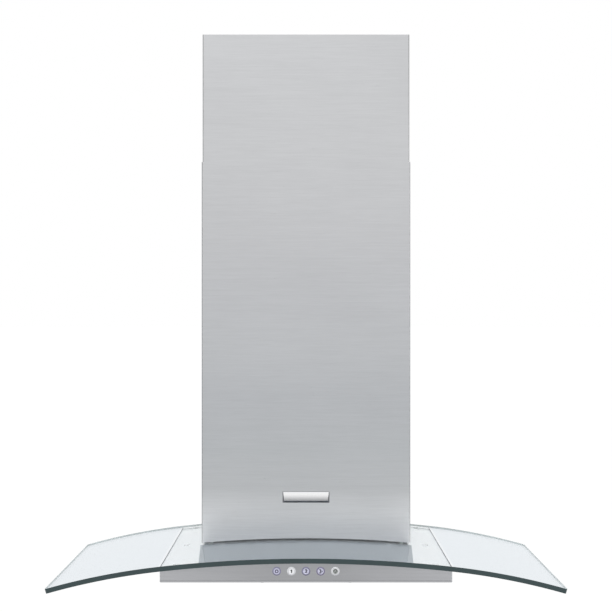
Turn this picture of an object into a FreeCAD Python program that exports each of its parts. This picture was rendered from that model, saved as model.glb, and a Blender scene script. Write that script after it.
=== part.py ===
import FreeCAD, Part
import math
import os
import re
import Sketcher
from FreeCAD import Placement, Rotation, Vector

# Wall-mounted range hood with an arched glass canopy, in millimetres.
# X runs across the hood with 0 on its centre line, the wall is the plane Y = 0 and the hood stands
# out from it towards -Y, and Z = 0 is the underside of the slim body below the glass.
# Sizes named "depth", "front" and "rear" are distances from the wall, so they are positive.

SIZES = {
    # glass canopy: middle arc over the body, tighter arcs in the wings, one sheet along Y
    "glass_width": 900,
    "glass_depth": 500,
    "glass_thickness": 8.5,
    "glass_crown": 44.5,        # top surface on the centre line, above the body's underside
    "middle_radius": 2300,      # both radii are of the top surface
    "wing_radius": 1200,
    "glass_corner": 5,
    "glass_bevel": 0.7,
    "notch_gap": 10,            # notch at the wall, round the sides of the air box
    "notch_front_gap": 6.2,
    "notch_corner": 8,
    "glass_hole": 9,
    "glass_bolt_rear": 60,
    # slim body under the glass
    "sheet": 0.8,               # steel sheet of body, panels and covers
    "body_width": 507,
    "glass_overhang": 20,       # glass in front of the body
    "body_bend": 2.0,
    "plate_gap": 1.5,           # top plate to glass, filled by seal, pads and rest plate
    "skin_gap": 0.3,            # front skin to glass
    "fold_gap": 0.2,            # between sheets that meet edge to face
    "seam": 0.6,                # reveal between body skin and bottom panel
    "seam_depth": 1.2,
    "hem": 2.6,                 # height of the bottom panel's folded rim
    "hem_width": 10,
    "hem_screw": 7,             # screws through the hem, from the body's edge
    "hem_screw_head": 1.0,      # low, so that the body's front hides them
    "flange": 12,               # inward flange at the foot of the body skin
    "rest_margin": 2,           # plate between body and glass, wider than the chimney
    "rest_taper": 12,           # and narrower at its front
    "rest_plate": 1.2,
    "seal_width": 24,
    "seal_inset": 2,
    "pad_radius": 6,
    "pad_inset": 18,            # from the body's front and the wall
    # chimney covers
    "cover_side_gap": 41,       # outside of the lower cover from the air box
    "cover_front_gap": 35.2,
    "lower_top": 751.6,
    "slide_gap": 0.8,           # between the covers, which slide one in the other
    "cover_overlap": 210.3,
    "upper_length": 450,
    "chimney_bend": 2.5,
    "cover_return": 15,         # edges turned in along the wall
    "return_gap": 0.6,          # between the turned edges of the two covers
    "foot_gap": 0.3,
    "badge_width": 88,
    "badge_height": 20.6,
    "badge_thickness": 2.4,
    "badge_level": 122,
    "badge_corner": 1.8,
    "badge_bevel": 1.4,
    # bracket that holds the upper cover to the wall
    "bracket_drop": 18.3,       # its middle below the upper cover's top
    "bracket_height": 26,
    "bracket_sheet": 2,
    "bracket_tab": 34,
    "bracket_gap": 2.2,         # in front of the upper cover's turned edges
    "bracket_pad": 12,
    "bracket_hole_spacing": 200,
    "bracket_hole": 3.1,
    "bracket_screw_front": 22,
    # controls
    "button_pitch": 25.4,
    "button_level": 19.6,
    "button_cap": 5.4,
    "button_proud": 2.0,
    "button_travel": 2.5,
    "button_step": 0.8,         # retaining flange wider than the cap
    "button_stem": 2,
    "button_round": 0.6,
    "bezel_rim": 1.0,           # lip wider than the sleeve
    "bezel_wall": 0.85,
    "bezel_gap": 0.25,
    "bezel_proud": 1.2,
    "bezel_depth": 6,
    "run_gap": 0.3,             # clearance of moving pieces
    "control_margin": 15.2,     # housing past the outer buttons
    "control_height": 21,
    "control_wall": 1.8,
    "control_depth": 16,
    "control_foot": 14,
    "board_thickness": 1.6,
    "switch_size": 6,
    "switch_height": 4,
    # lamps
    "lamp_side": 63.5,          # lamp centres from the body's sides and front
    "lamp_inset": 50,
    "lamp_rim": 4.25,           # bezel wider than its sleeve
    "lamp_lip": 1.4,
    "lamp_seat": 0.7,
    "lamp_sleeve": 4,
    "lamp_sleeve_wall": 3.45,
    "lamp_lens": 23,
    "lamp_glass": 3,
    "lamp_top": 17,
    "lamp_wall": 1.5,
    "led_radius": 18,
    "led_thickness": 3,
    # grease filters
    "filter_margin": 21.9,      # panel left beside and in front of the openings
    "filter_front_margin": 104.4,
    "filter_thickness": 9,
    "filter_gap": 0.8,
    "filter_bar": 12,           # panel left between the two openings
    "filter_rear": 56,          # rear edge of the openings
    "filter_rim": 11,
    "filter_lip": 1.8,
    "filter_groove": 5,
    "mesh_gap": 0.2,
    "filter_tab": 7,
    "filter_tab_plate": 1.2,
    "filter_tab_width": 22,
    "filter_tab_inset": 42,
    # sliding latch in each filter
    "latch_width": 54,
    "latch_length": 14,
    "latch_travel": 5,
    "latch_floor": 1.5,
    "latch_roof": 6,
    "latch_wall": 4,
    "latch_tongue": 26,
    "latch_tongue_low": 2.3,
    "latch_tongue_high": 4.3,
    "latch_grip": 30,
    "latch_grip_length": 6,
    "latch_grip_drop": 1.5,
    # air box on the wall, standing in the notch of the glass
    "box_side_gap": 57,         # from the motor bracket
    "box_front_gap": 31.5,      # from the scroll
    "box_foot": 28,
    "box_tail": 6,              # its back wall reaches this low inside the body
    "box_screw_inset": 35,
    "box_screw_inner": 40,
    "box_screw_rise": 11,
    "hang_drop": 50,            # slots below the box's top
    "hang_spacing": 200,
    "hang_slot": 22,
    "hang_radius": 4.2,
    "safety_inset": 43.5,
    "safety_level": 13,
    "safety_hole": 3,
    # clips between air box and lower cover
    "clip_front": 150,
    "clip_width": 30,
    "clip_gap": 5.73,           # above the glass
    "clip_height": 30,
    "clip_sheet": 2,
    # blower: double-inlet centrifugal fan, axis across the hood
    "scroll_width": 100,
    "scroll_wall": 1.5,
    "scroll_gap": 4.9,          # from the air box's back wall
    "scroll_clear": 21.5,       # above the air box's foot
    "tongue_gap": 10,           # wheel to the spiral's first quarter
    "scroll_step": 10,          # its growth per quarter turn
    "scroll_mouth": 97,
    "neck_height": 78.2,
    "inlet_overlap": 2,         # inlet smaller than the inside of the blades
    "ring_wall": 2,
    "ring_height": 6,
    "ring_sleeve": 4,
    "impeller_radius": 70,
    "wheel_gap": 3,             # wheel to the sleeves of the inlet rings
    "impeller_ring": 3,
    "wheel_step": 1,            # end rings reach inside the blades
    "impeller_disc": 2,
    "blade_count": 30,
    "blade_depth": 13,
    "blade_thickness": 1.2,
    "blade_tip": 0.84,          # how far the back of a blade's tip leans in
    "blade_sweep": 9,
    "blade_bend": 15,
    "hub_radius": 12,
    "hub_length": 24,
    "shaft_radius": 4,
    "shaft_gap": 0.05,
    "shaft_end": 20,
    "motor_radius": 42,
    "motor_length": 34,
    "motor_gap": 2,             # from the right inlet ring
    "motor_boss": 16,
    "motor_round": 4,
    "bush_length": 4,
    "bush_radius": 7,
    "bush_circle": 30,
    "spider_plate": 2,
    "spider_bore": 10,
    "post_radius": 4,
    "post_gap": 1.25,           # from the inlet ring
    "spider_edge": 2,
    "window_radius": 13,
    "window_circle": 46,
    # outlet collar with the backdraught damper
    "collar_radius": 74.5,      # outside, for a duct of 150 mm bore
    "collar_wall": 2.5,
    "collar_height": 60,
    "collar_rim": 6.5,
    "collar_plate": 3,
    "collar_screw_gap": 3.3,    # screw centres outside the spigot
    "collar_screw_head": 2.6,   # flush, so that a duct can slide over the spigot
    "collar_screw_length": 4,
    "damper_level": 22,         # pin above the collar's foot
    "damper_pin": 1.5,
    "damper_gap": 0.05,
    "flap_thickness": 1.2,
    "flap_edge": 1.6,           # flap rim to collar wall
    "knuckle_radius": 3.2,
    "knuckle_length": 28,
    "ledge": 2.6,               # ledge in the collar under the flaps
    "ledge_height": 2,
    # electrics on top of the air box
    "junction_width": 100,
    "junction_depth": 62,
    "junction_height": 38,
    "junction_rear": 12,
    "cable_inset": 10,          # cable hole from the junction box's inner side
    "junction_wall": 2,
    "terminal_shift": 8,        # from the middle of the junction box
    "terminal_width": 50,
    "terminal_depth": 16,
    "terminal_height": 15,
    "gland_shift": 25,
    "gland_bore": 4,
    "gland_stem": 6,
    "gland_nut": 10,
    "gland_length": 20,
    "gland_hex": 6,             # height of the clamping nut
    "shelf_inset": 5,           # from the air box's side
    "capacitor_front": 45,
    "capacitor_radius": 17,
    "capacitor_height": 58,
    "driver_rear": 10,
    "driver_gap": 4.5,          # from the outlet collar
    "shelf_gap": 8,             # from the junction box
    "driver_width": 90,
    "driver_depth": 54,
    "driver_height": 26,
    # internal wiring
    "cable_radius": 2.5,
    "cable_gap": 1.5,           # from the left inlet ring
    "cable_rear": 24,
    "cable_level": 22,
    "cable_bend": 18,
    "lamp_cable_radius": 1.5,
    "lamp_cable_inset": 11,
    "lamp_cable_level": 11.5,
    "lamp_cable_bend": 8,
    # fasteners
    "bolt_radius": 2.5,
    "bolt_head": 4.75,
    "bolt_head_height": 2.8,
    "bolt_tail": 6,
    "washer_radius": 8.5,
    "washer_height": 2.2,
    "nut_radius": 4.4,
    "nut_height": 4,
    "screw_radius": 1.75,
    "screw_head": 3.5,
    "screw_head_height": 2.0,
    "screw_length": 6,
    "hole_gap": 0.25,
    "thread_gap": 0.05,
}

# Sizes and places that follow from those above. Pieces that fit each other share them.
DERIVED = {
    # blower, from the wheel outwards
    "blade_inner": "impeller_radius - blade_depth",
    "inlet_radius": "blade_inner - inlet_overlap",
    "ring_lip": "inlet_radius - hole_gap + ring_height + ring_wall",
    "impeller_width": "scroll_width - 2 * (ring_sleeve + wheel_gap)",
    "scroll_base": "impeller_radius + tongue_gap",
    "mouth_to_fan": "scroll_base + 3 * scroll_step - scroll_mouth / 2",
    "motor_start": "scroll_width / 2 + ring_height + motor_gap",
    "motor_end": "motor_start + motor_length",
    "post_circle": "ring_lip + post_gap + post_radius",
    "spider_radius": "post_circle + post_radius + spider_edge",
    # outlet collar, over the scroll's mouth and clear of the lamp driver behind it
    "collar_flange": "collar_radius + collar_rim",
    "collar_screw": "collar_radius + collar_screw_gap",
    "fan_front": "max(2 * sheet + scroll_gap + scroll_wall + scroll_base;"
                 " driver_rear + driver_depth + driver_gap + collar_flange - mouth_to_fan)",
    "fan_level": "box_foot + scroll_clear + scroll_wall + scroll_step + scroll_base",
    "collar_front": "fan_front + mouth_to_fan",
    # air box round the blower
    "box_width": "2 * (motor_end + bush_length + spider_plate + box_side_gap)",
    "box_depth": "fan_front + scroll_base + 3 * scroll_step + scroll_wall + box_front_gap",
    "box_top": "fan_level + scroll_base + neck_height + sheet",
    "box_screw_x": "box_width / 2 - box_screw_inset",
    "box_screw_level": "box_tail + box_screw_rise",
    "hang_level": "box_top - hang_drop",
    # electrics on its top
    "cable_x": "scroll_width / 2 + ring_height + cable_gap + cable_radius",
    "junction_x": "cable_x - cable_inset + junction_width / 2",
    "junction_front": "junction_rear + junction_depth / 2",
    "terminal_x": "junction_x - terminal_shift",
    "gland_x": "junction_x + gland_shift",
    "driver_x": "junction_x - junction_width / 2 - shelf_gap",
    "capacitor_x": "box_width / 2 - shelf_inset - capacitor_radius",
    # covers round the air box
    "lower_width": "box_width + 2 * cover_side_gap",
    "lower_depth": "box_depth + sheet + cover_front_gap",
    "upper_width": "lower_width - 2 * (sheet + slide_gap)",
    "upper_depth": "lower_depth - sheet - slide_gap",
    "wall_gap": "sheet + return_gap",
    "upper_bottom": "lower_top - cover_overlap",
    "upper_top": "upper_bottom + upper_length",
    "bracket_level": "upper_top - bracket_drop",
    "bracket_standoff": "wall_gap + sheet + bracket_gap",
    "clip_level": "arch_centre + sqrt(middle_radius^2 - (box_width / 2)^2) + clip_gap",
    # glass and the layers under it
    "notch_width": "box_width + 2 * notch_gap",
    "notch_depth": "box_depth + sheet + notch_front_gap",
    "glass_bolt_x": "notch_width / 2 + seal_inset + seal_width / 2",
    "glass_bolt_front": "notch_depth + seal_inset + seal_width / 2",
    "arch_centre": "glass_crown - middle_radius",
    "wing_share": "(middle_radius - wing_radius) / middle_radius",
    "wing_x": "body_width / 2 * wing_share",
    "wing_z": "arch_centre + sqrt(middle_radius^2 - (body_width / 2)^2) * wing_share",
    "plate_top": "glass_thickness + plate_gap",
    "plate_foot": "plate_top + sheet",
    "rest_rear_width": "lower_width + 2 * rest_margin",
    "rest_front_width": "rest_rear_width - 2 * rest_taper",
    "pad_x": "(rest_rear_width / 2 + body_edge) / 2",
    # body
    "body_depth": "glass_depth - glass_overhang",
    "body_edge": "body_width / 2 - sheet - fold_gap",
    "body_foot": "hem + seam",
    "safety_spacing": "body_width - 2 * safety_inset",
    "screw_hole": "screw_radius + hole_gap",
    # controls
    "button_flange": "button_cap + button_step",
    "bezel_sleeve": "button_cap + bezel_gap + bezel_wall",
    "bezel_radius": "bezel_sleeve + bezel_rim",
    "control_width": "4 * button_pitch + 2 * control_margin",
    "housing_rear": "body_depth - sheet - run_gap - control_depth",
    "board_front": "housing_rear + run_gap + board_thickness",
    "lamp_cable_front": "body_depth - lamp_cable_inset",
    # lamps
    "lamp_x": "body_width / 2 - lamp_side",
    "lamp_front": "body_depth - lamp_inset",
    "lamp_hole": "lamp_lens + run_gap + lamp_sleeve_wall + hole_gap",
    "lamp_bezel": "lamp_hole - hole_gap + lamp_rim",
    # grease filters and their latches
    "filter_width": "body_width / 2 - filter_margin - filter_bar / 2 - 2 * filter_gap",
    "filter_length": "body_depth - filter_front_margin - filter_rear - 2 * filter_gap",
    "opening_width": "filter_width + 2 * filter_gap",
    "opening_x": "filter_bar / 2 + opening_width / 2",
    "filter_tab_x": "filter_width / 2 - filter_tab_inset",
    "latch_rear_stop": "latch_wall + run_gap + latch_travel",
    "housing_width": "latch_width + 2 * (run_gap + latch_wall)",
    "housing_length": "latch_rear_stop + latch_length + run_gap + latch_wall",
}

doc = FreeCAD.newDocument("range_hood")
sheet = doc.addObject("Spreadsheet::Sheet", "Sizes")
for row, (alias, number) in enumerate(SIZES.items(), start=1):
    sheet.set(f"A{row}", alias)
    sheet.set(f"B{row}", str(number))
    sheet.setAlias(f"B{row}", alias)
doc.recompute()

PARTS = []


# ---- helpers -------------------------------------------------------------------------------------

def bound(text):
    """An expression with each size pointed at its cell and each derived one written out."""
    def write_out(match):
        name = match.group()
        if name in DERIVED:
            return f"({bound(DERIVED[name])})"
        return f"Sizes.{name}" if name in SIZES else name

    return re.sub(r"[a-z][a-z0-9_]*", write_out, str(text))


def value(text):
    result = sheet.evalExpression(bound(text))
    return float(getattr(result, "Value", result))


def place(target, x="0", y="0", z="0"):
    for axis, text in (("x", x), ("y", y), ("z", z)):
        target.setExpression(f".Placement.Base.{axis}", bound(text))


def register(target, label):
    target.Label = label
    PARTS.append(target)
    return target


def body(label, x="0", y="0", z="0", turned=0, kept=True):
    """A PartDesign body at a bound place, turned by some degrees about Z."""
    made = doc.addObject("PartDesign::Body", label)
    made.Placement = Placement(Vector(), Rotation(Vector(0, 0, 1), turned))
    place(made, x, y, z)
    return register(made, label) if kept else made


def empty_sketch(owner, name, plane, offset="0"):
    made = owner.newObject("Sketcher::SketchObject", name)
    support = [item for item in owner.Origin.OriginFeatures if item.Role == plane]
    made.AttachmentSupport = [(support[0], "")]
    made.MapMode = "FlatFace"
    made.setExpression(".AttachmentOffset.Base.z", bound(offset))
    return made


def limit(target, constraint, text):
    """Add a sketch constraint whose number is bound to an expression."""
    number = target.addConstraint(constraint)
    target.setExpression(f"Constraints[{number}]", bound(text))


def pin(target, geometry, point, x, y):
    """Fix a point of a sketch by two bound distances from its origin."""
    for kind, text, axis in (("DistanceX", x, -2), ("DistanceY", y, -1)):
        if text == "0":
            target.addConstraint(Sketcher.Constraint("PointOnObject", geometry, point, axis))
        else:
            distance = Sketcher.Constraint(kind, -1, 1, geometry, point, value(text))
            limit(target, distance, text)


def arc_between(start, end, radius):
    """Arc under a half circle: radius > 0 turns left on the way to its end, < 0 turns right."""
    chord = end - start
    left = Vector(-chord.y, chord.x, 0).normalize()
    rise = math.sqrt(radius * radius - (chord.Length / 2) ** 2)
    centre = (start + end) / 2 + left * (rise if radius > 0 else -rise)
    first, last = (start, end) if radius > 0 else (end, start)
    low = math.atan2(first.y - centre.y, first.x - centre.x)
    high = math.atan2(last.y - centre.y, last.x - centre.x)
    if high < low:
        high += 2 * math.pi
    return Part.ArcOfCircle(Part.Circle(centre, Vector(0, 0, 1), abs(radius)), low, high)


def chain(target, corners, closed=True):
    """Lines and arcs through corners. Each corner is (x, y), or (x, y, side, radius) where an arc
    leaves it: side "left" or "right" is the way that the arc turns."""
    points = [Vector(value(corner[0]), value(corner[1]), 0) for corner in corners]
    runs = len(corners) if closed else len(corners) - 1
    ends = []
    for index in range(runs):
        corner, start, end = corners[index], points[index], points[(index + 1) % len(points)]
        if len(corner) == 2:
            number = target.addGeometry(Part.LineSegment(start, end), False)
            ends.append((number, 1, 2))
            continue
        turns_left = corner[2] == "left"
        radius = value(corner[3])
        arc = arc_between(start, end, radius if turns_left else -radius)
        number = target.addGeometry(arc, False)
        ends.append((number, 1, 2) if turns_left else (number, 2, 1))
        limit(target, Sketcher.Constraint("Radius", number, radius), corner[3])
    for index, (number, start, end) in enumerate(ends):
        pin(target, number, start, corners[index][0], corners[index][1])
        if index + 1 < runs or closed:
            following = ends[(index + 1) % runs]
            target.addConstraint(
                Sketcher.Constraint("Coincident", number, end, following[0], following[1]))
    if not closed:
        pin(target, ends[-1][0], ends[-1][2], corners[-1][0], corners[-1][1])


def circle(target, x, y, radius):
    centre = Vector(value(x), value(y), 0)
    number = target.addGeometry(Part.Circle(centre, Vector(0, 0, 1), value(radius)), False)
    pin(target, number, 3, x, y)
    limit(target, Sketcher.Constraint("Radius", number, value(radius)), radius)


def rectangle(x_low, x_high, y_low, y_high):
    return [(x_low, y_low), (x_high, y_low), (x_high, y_high), (x_low, y_high)]


def rounded(x_low, x_high, y_low, y_high, radius):
    return [(f"{x_low} + {radius}", y_low), (f"{x_high} - {radius}", y_low, "left", radius),
            (x_high, f"{y_low} + {radius}"), (x_high, f"{y_high} - {radius}", "left", radius),
            (f"{x_high} - {radius}", y_high), (f"{x_low} + {radius}", y_high, "left", radius),
            (x_low, f"{y_high} - {radius}"), (x_low, f"{y_low} + {radius}", "left", radius)]


def feature(owner, kind, plane, length, loops=(), circles=(), offset="0", back=False):
    """A pad or pocket of closed loops and circles drawn parallel to an origin plane. A pad goes
    along the plane's normal and a pocket against it, unless back is set."""
    name = f"{owner.Name}_{kind}_{len(owner.Group)}"
    drawn = empty_sketch(owner, f"{name}_sketch", plane, offset)
    for corners in loops:
        chain(drawn, corners)
    for x, y, radius in circles:
        circle(drawn, x, y, radius)
    before = 0.0 if owner.Shape.isNull() else owner.Shape.Volume
    made = owner.newObject(f"PartDesign::{kind}", name)
    made.Profile = drawn
    made.Reversed = back
    if length is None:
        made.Type = 1
    else:
        made.setExpression("Length", bound(length))
    doc.recompute()
    if abs(made.Shape.Volume - before) < 1e-6:
        raise RuntimeError(f"{name} changes nothing")
    return made


def pad(owner, plane, length, **drawing):
    return feature(owner, "Pad", plane, length, **drawing)


def pocket(owner, plane, length=None, **drawing):
    return feature(owner, "Pocket", plane, length, **drawing)


def drill(owner, plane, circles):
    """Round holes through the whole body, both ways from an origin plane."""
    for back in (False, True):
        pocket(owner, plane, circles=circles, back=back)


def spin(owner, plane, corners, axis):
    """A solid of revolution about a sketch's V or H axis."""
    name = f"{owner.Name}_turned"
    drawn = empty_sketch(owner, f"{name}_sketch", plane)
    chain(drawn, corners)
    made = owner.newObject("PartDesign::Revolution", name)
    made.Profile = drawn
    made.ReferenceAxis = (drawn, [f"{axis}_Axis"])
    made.Angle = 360
    doc.recompute()
    return made


def dress(owner, kind, size, chosen):
    """A fillet or chamfer on the edges of the body's tip that the test picks."""
    base = owner.Tip
    names = [f"Edge{number}" for number, edge in enumerate(base.Shape.Edges, start=1)
             if chosen(edge.BoundBox)]
    made = owner.newObject(f"PartDesign::{kind}", f"{owner.Name}_{kind}")
    made.Base = (base, names)
    made.setExpression("Radius" if kind == "Fillet" else "Size", bound(size))
    doc.recompute()
    return made


def polar(owner, repeated, sketch, count):
    """Repeat a feature in a full turn about the normal of a sketch through its origin."""
    made = owner.newObject("PartDesign::PolarPattern", f"{owner.Name}_turns")
    made.Originals = [repeated]
    made.Axis = (sketch, ["N_Axis"])
    made.Angle = 360
    made.setExpression("Occurrences", bound(count))
    owner.Tip = made
    doc.recompute()
    return made


AXES = {"X": Vector(1, 0, 0), "Y": Vector(0, 1, 0), "Z": Vector(0, 0, 1)}


def rod(x, y, z, radius, length, along):
    """A plain cylinder from (x, y, z), along "+X", "-Y" and so on."""
    made = doc.addObject("Part::Cylinder", "rod")
    made.setExpression("Radius", bound(radius))
    made.setExpression("Height", bound(length))
    direction = AXES[along[1]] * (1 if along[0] == "+" else -1)
    made.Placement = Placement(Vector(), Rotation(AXES["Z"], direction))
    place(made, x, y, z)
    return made


def block(x, y, z, width, depth, height):
    """A plain box from its low corner."""
    made = doc.addObject("Part::Box", "block")
    for name, text in (("Length", width), ("Width", depth), ("Height", height)):
        made.setExpression(name, bound(text))
    place(made, x, y, z)
    return made


def joined(pieces):
    """Pieces fused where they meet; those that stand apart stay separate solids."""
    made = doc.addObject("Part::MultiFuse", "joined")
    made.Shapes = pieces
    return made


def cut(base, tool):
    made = doc.addObject("Part::Cut", "cut")
    made.Base = base
    made.Tool = tool
    return made


def fasteners(label, seats, length, shank="screw_radius", head="screw_head",
              head_height="screw_head_height"):
    """Identical screws in one node. A seat is (x, y, z, along): where the head's underside sits
    and the way that the shank points."""
    pieces = []
    for x, y, z, along in seats:
        back = ("-" if along[0] == "+" else "+") + along[1]
        pieces.append(rod(x, y, z, shank, length, along))
        pieces.append(rod(x, y, z, head, head_height, back))
    return register(joined(pieces), label)


# ---- shared geometry -----------------------------------------------------------------------------

SIDES = {"left": "-", "right": ""}
NEAR = 0.01         # an edge this near to a plane lies in it
FULL_ROUND = 0.999  # end radius of a slot, as a share of its half height


def arch(x, under="0"):
    """Height over the body at x, some way under the glass's top surface."""
    return f"(arch_centre + sqrt((middle_radius - ({under}))^2 - ({x})^2))"


def wing(x, under="0"):
    """Height of the wings at x, some way under the glass's top surface."""
    return f"(wing_z + sqrt((wing_radius - ({under}))^2 - ({x} - wing_x)^2))"


def arched_band(upper, lower, half):
    """Section between two depths under the glass's top surface, for |x| up to half."""
    return [(f"-({half})", arch(half, lower), "right", f"middle_radius - ({lower})"),
            (half, arch(half, lower)),
            (half, arch(half, upper), "left", f"middle_radius - ({upper})"),
            (f"-({half})", arch(half, upper))]


def below_arch(under, half, foot):
    """Section from a level foot up to a depth under the glass's top surface."""
    return [(f"-({half})", foot), (half, foot),
            (half, arch(half, under), "left", f"middle_radius - ({under})"),
            (f"-({half})", arch(half, under))]


def above_arch(under, half, head):
    """Section from a depth under the glass's top surface up to a level head."""
    return [(f"-({half})", arch(half, under), "right", f"middle_radius - ({under})"),
            (half, arch(half, under)), (half, head), (f"-({half})", head)]


def wrap(half, depth, bend, lip, rear="0"):
    """Plan of a sheet bent round the front and both sides, with its rear edges turned in by lip."""
    outer, inner = f"({depth} - {bend})", f"({half} - sheet)"
    small = f"({bend} - sheet)"
    loop = [(f"-{half}", f"-{rear}"), (f"-{half}", f"-{outer}", "left", bend),
            (f"-({half} - {bend})", f"-{depth}"), (f"{half} - {bend}", f"-{depth}", "left", bend),
            (half, f"-{outer}"), (half, f"-{rear}")]
    if lip:
        loop += [(f"{half} - {lip}", f"-{rear}"), (f"{half} - {lip}", f"-({rear} + sheet)"),
                 (inner, f"-({rear} + sheet)")]
    else:
        loop += [(inner, f"-{rear}")]
    loop += [(inner, f"-{outer}", "right", small), (f"{half} - {bend}", f"-({depth} - sheet)"),
             (f"-({half} - {bend})", f"-({depth} - sheet)", "right", small),
             (f"-{inner}", f"-{outer}")]
    if lip:
        loop += [(f"-{inner}", f"-({rear} + sheet)"),
                 (f"-({half} - {lip})", f"-({rear} + sheet)"), (f"-({half} - {lip})", f"-{rear}")]
    else:
        loop += [(f"-{inner}", f"-{rear}")]
    return loop


GLASS_BOLTS = [(f"{side}glass_bolt_x", front)
               for side in SIDES.values() for front in ("glass_bolt_rear", "glass_bolt_front")]
SCREW_ROWS = (0.12, 0.5, 0.88)  # along the body's depth
BODY_SCREWS = [(f"{side}(body_width / 2 - hem_screw)", f"body_depth * {share}")
               for side in SIDES.values() for share in SCREW_ROWS]
BODY_SCREWS += [(f"{side}button_pitch * 3", "(body_depth - hem_screw)")
                for side in SIDES.values()]
BUTTONS = [f"({number} * button_pitch)" for number in (-2, -1, 0, 1, 2)]


# ---- glass canopy and what carries it ------------------------------------------------------------

def glass_canopy():
    made = body("glass_canopy")
    under = "glass_thickness"
    bend, tip = "(body_width / 2)", "(glass_width / 2)"
    low_bend = f"({bend} * (middle_radius - {under}) / middle_radius)"
    section = [
        (tip, wing(tip), "left", "wing_radius"),
        (bend, arch(bend), "left", "middle_radius"),
        (f"-{bend}", arch(bend), "left", "wing_radius"),
        (f"-{tip}", wing(tip)),
        (f"-{tip}", wing(tip, under), "right", f"wing_radius - {under}"),
        (f"-{low_bend}", arch(low_bend, under), "right", f"middle_radius - {under}"),
        (low_bend, arch(low_bend, under), "right", f"wing_radius - {under}"),
        (tip, wing(tip, under)),
    ]
    pad(made, "XZ_Plane", "glass_depth", loops=[section])
    half = "(notch_width / 2)"
    notch = [(half, "0"), (f"-{half}", "0"),
             (f"-{half}", "-(notch_depth - notch_corner)", "left", "notch_corner"),
             (f"-({half} - notch_corner)", "-notch_depth"),
             (f"{half} - notch_corner", "-notch_depth", "left", "notch_corner"),
             (half, "-(notch_depth - notch_corner)")]
    pocket(made, "XY_Plane", loops=[notch], back=True)
    pocket(made, "XY_Plane", back=True,
           circles=[(x, f"-{front}", "glass_hole / 2") for x, front in GLASS_BOLTS])
    edge = value(tip) - NEAR
    dress(made, "Fillet", "glass_corner",
          lambda box: box.XLength + box.YLength < NEAR and abs(box.XMax) > edge)
    front, side = -value("glass_depth") + NEAR, value(tip) - value("glass_corner") - NEAR
    dress(made, "Chamfer", "glass_bevel",
          lambda box: box.XLength + box.YLength > NEAR and box.YMin < -NEAR
          and (box.YMax < front or box.XMin > side or box.XMax < -side))


def glass_rest_plate():
    """Plate under the glass in front of the chimney, a little narrower towards the front."""
    made = body("glass_rest_plate")
    rear, front = "(notch_depth + seal_inset + seal_width)", "(body_depth - 2 * sheet)"
    rear_half, front_half = "(rest_rear_width / 2)", "(rest_front_width / 2)"
    pad(made, "XZ_Plane", f"{front} - {rear}", offset=rear,
        loops=[arched_band(f"plate_top - rest_plate", "plate_top", rear_half)])
    side = [(rear_half, f"-{rear}"), (f"{rear_half} + sheet", f"-{rear}"),
            (f"{rear_half} + sheet", f"-({front} + sheet)"), (front_half, f"-({front} + sheet)"),
            (front_half, f"-{front}")]
    mirrored = [(f"-({x})", y) for x, y in reversed(side)]
    pocket(made, "XY_Plane", loops=[side, mirrored], back=True)


def glass_seal():
    """Rubber strip round three sides of the notch, between body and glass."""
    made = body("glass_seal")
    inner = "(notch_width / 2 + seal_inset)"
    front = "(notch_depth + seal_inset)"
    pad(made, "XZ_Plane", f"{front} + seal_width",
        loops=[arched_band("glass_thickness", "plate_top", f"{inner} + seal_width")])
    pocket(made, "XY_Plane", back=True, loops=[rectangle(f"-{inner}", inner, f"-{front}", "0")])
    pocket(made, "XY_Plane", back=True,
           circles=[(x, f"-{front}", "glass_hole / 2") for x, front in GLASS_BOLTS])


def glass_pads():
    """Clear bumpers that keep the glass off the body outside the seal."""
    layer = body("pad_layer", kept=False)
    pad(layer, "XZ_Plane", "body_depth",
        loops=[arched_band("glass_thickness", "plate_top", "body_edge")])
    discs = [rod(f"{side}pad_x", f"-({front})", "0", "pad_radius", "glass_crown", "+Z")
             for side in SIDES.values()
             for front in ("pad_inset", "body_depth / 2", "body_depth - pad_inset")]
    made = doc.addObject("Part::Common", "glass_pads")
    made.Base = joined(discs)
    made.Tool = layer
    register(made, "glass_pads")


def glass_fixings():
    """Bolts through the glass, each with a nylon washer and bush above and a nut below."""
    glass = body("glass_layer", kept=False)
    pad(glass, "XZ_Plane", "glass_depth",
        loops=[below_arch("0", "glass_bolt_x + 2 * washer_radius", "0")])
    seat = f"({arch('glass_bolt_x')} + washer_height)"
    flanges = [rod(x, f"-{front}", f"{seat} - 2 * washer_height", "washer_radius",
                   "2 * washer_height", "+Z") for x, front in GLASS_BOLTS]
    bushes = [rod(x, f"-{front}", f"{seat} - washer_height - glass_thickness",
                  "glass_hole / 2 - hole_gap", "glass_thickness + washer_height", "+Z")
              for x, front in GLASS_BOLTS]
    bores = [rod(x, f"-{front}", "0", "bolt_radius + hole_gap / 2", "2 * glass_crown", "+Z")
             for x, front in GLASS_BOLTS]
    whole = joined([cut(joined(flanges), glass), joined(bushes)])
    register(cut(whole, joined(bores)), "glass_washers")
    nut_top = arch("glass_bolt_x + nut_radius", "plate_foot")
    length = f"{seat} - {nut_top} + bolt_tail"
    fasteners("glass_bolts", [(x, f"-{front}", seat, "-Z") for x, front in GLASS_BOLTS], length,
              "bolt_radius", "bolt_head", "bolt_head_height")
    nuts = []
    for x, front in GLASS_BOLTS:
        nut = doc.addObject("Part::Prism", "nut")
        nut.Polygon = 6
        nut.setExpression("Circumradius", bound("nut_radius"))
        nut.setExpression("Height", bound("nut_height"))
        place(nut, x, f"-{front}", f"{nut_top} - nut_height")
        nuts.append(nut)
    threads = [rod(x, f"-{front}", "0", "bolt_radius + thread_gap", "glass_crown", "+Z")
               for x, front in GLASS_BOLTS]
    register(cut(joined(nuts), joined(threads)), "glass_nuts")


# ---- slim body -----------------------------------------------------------------------------------

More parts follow.
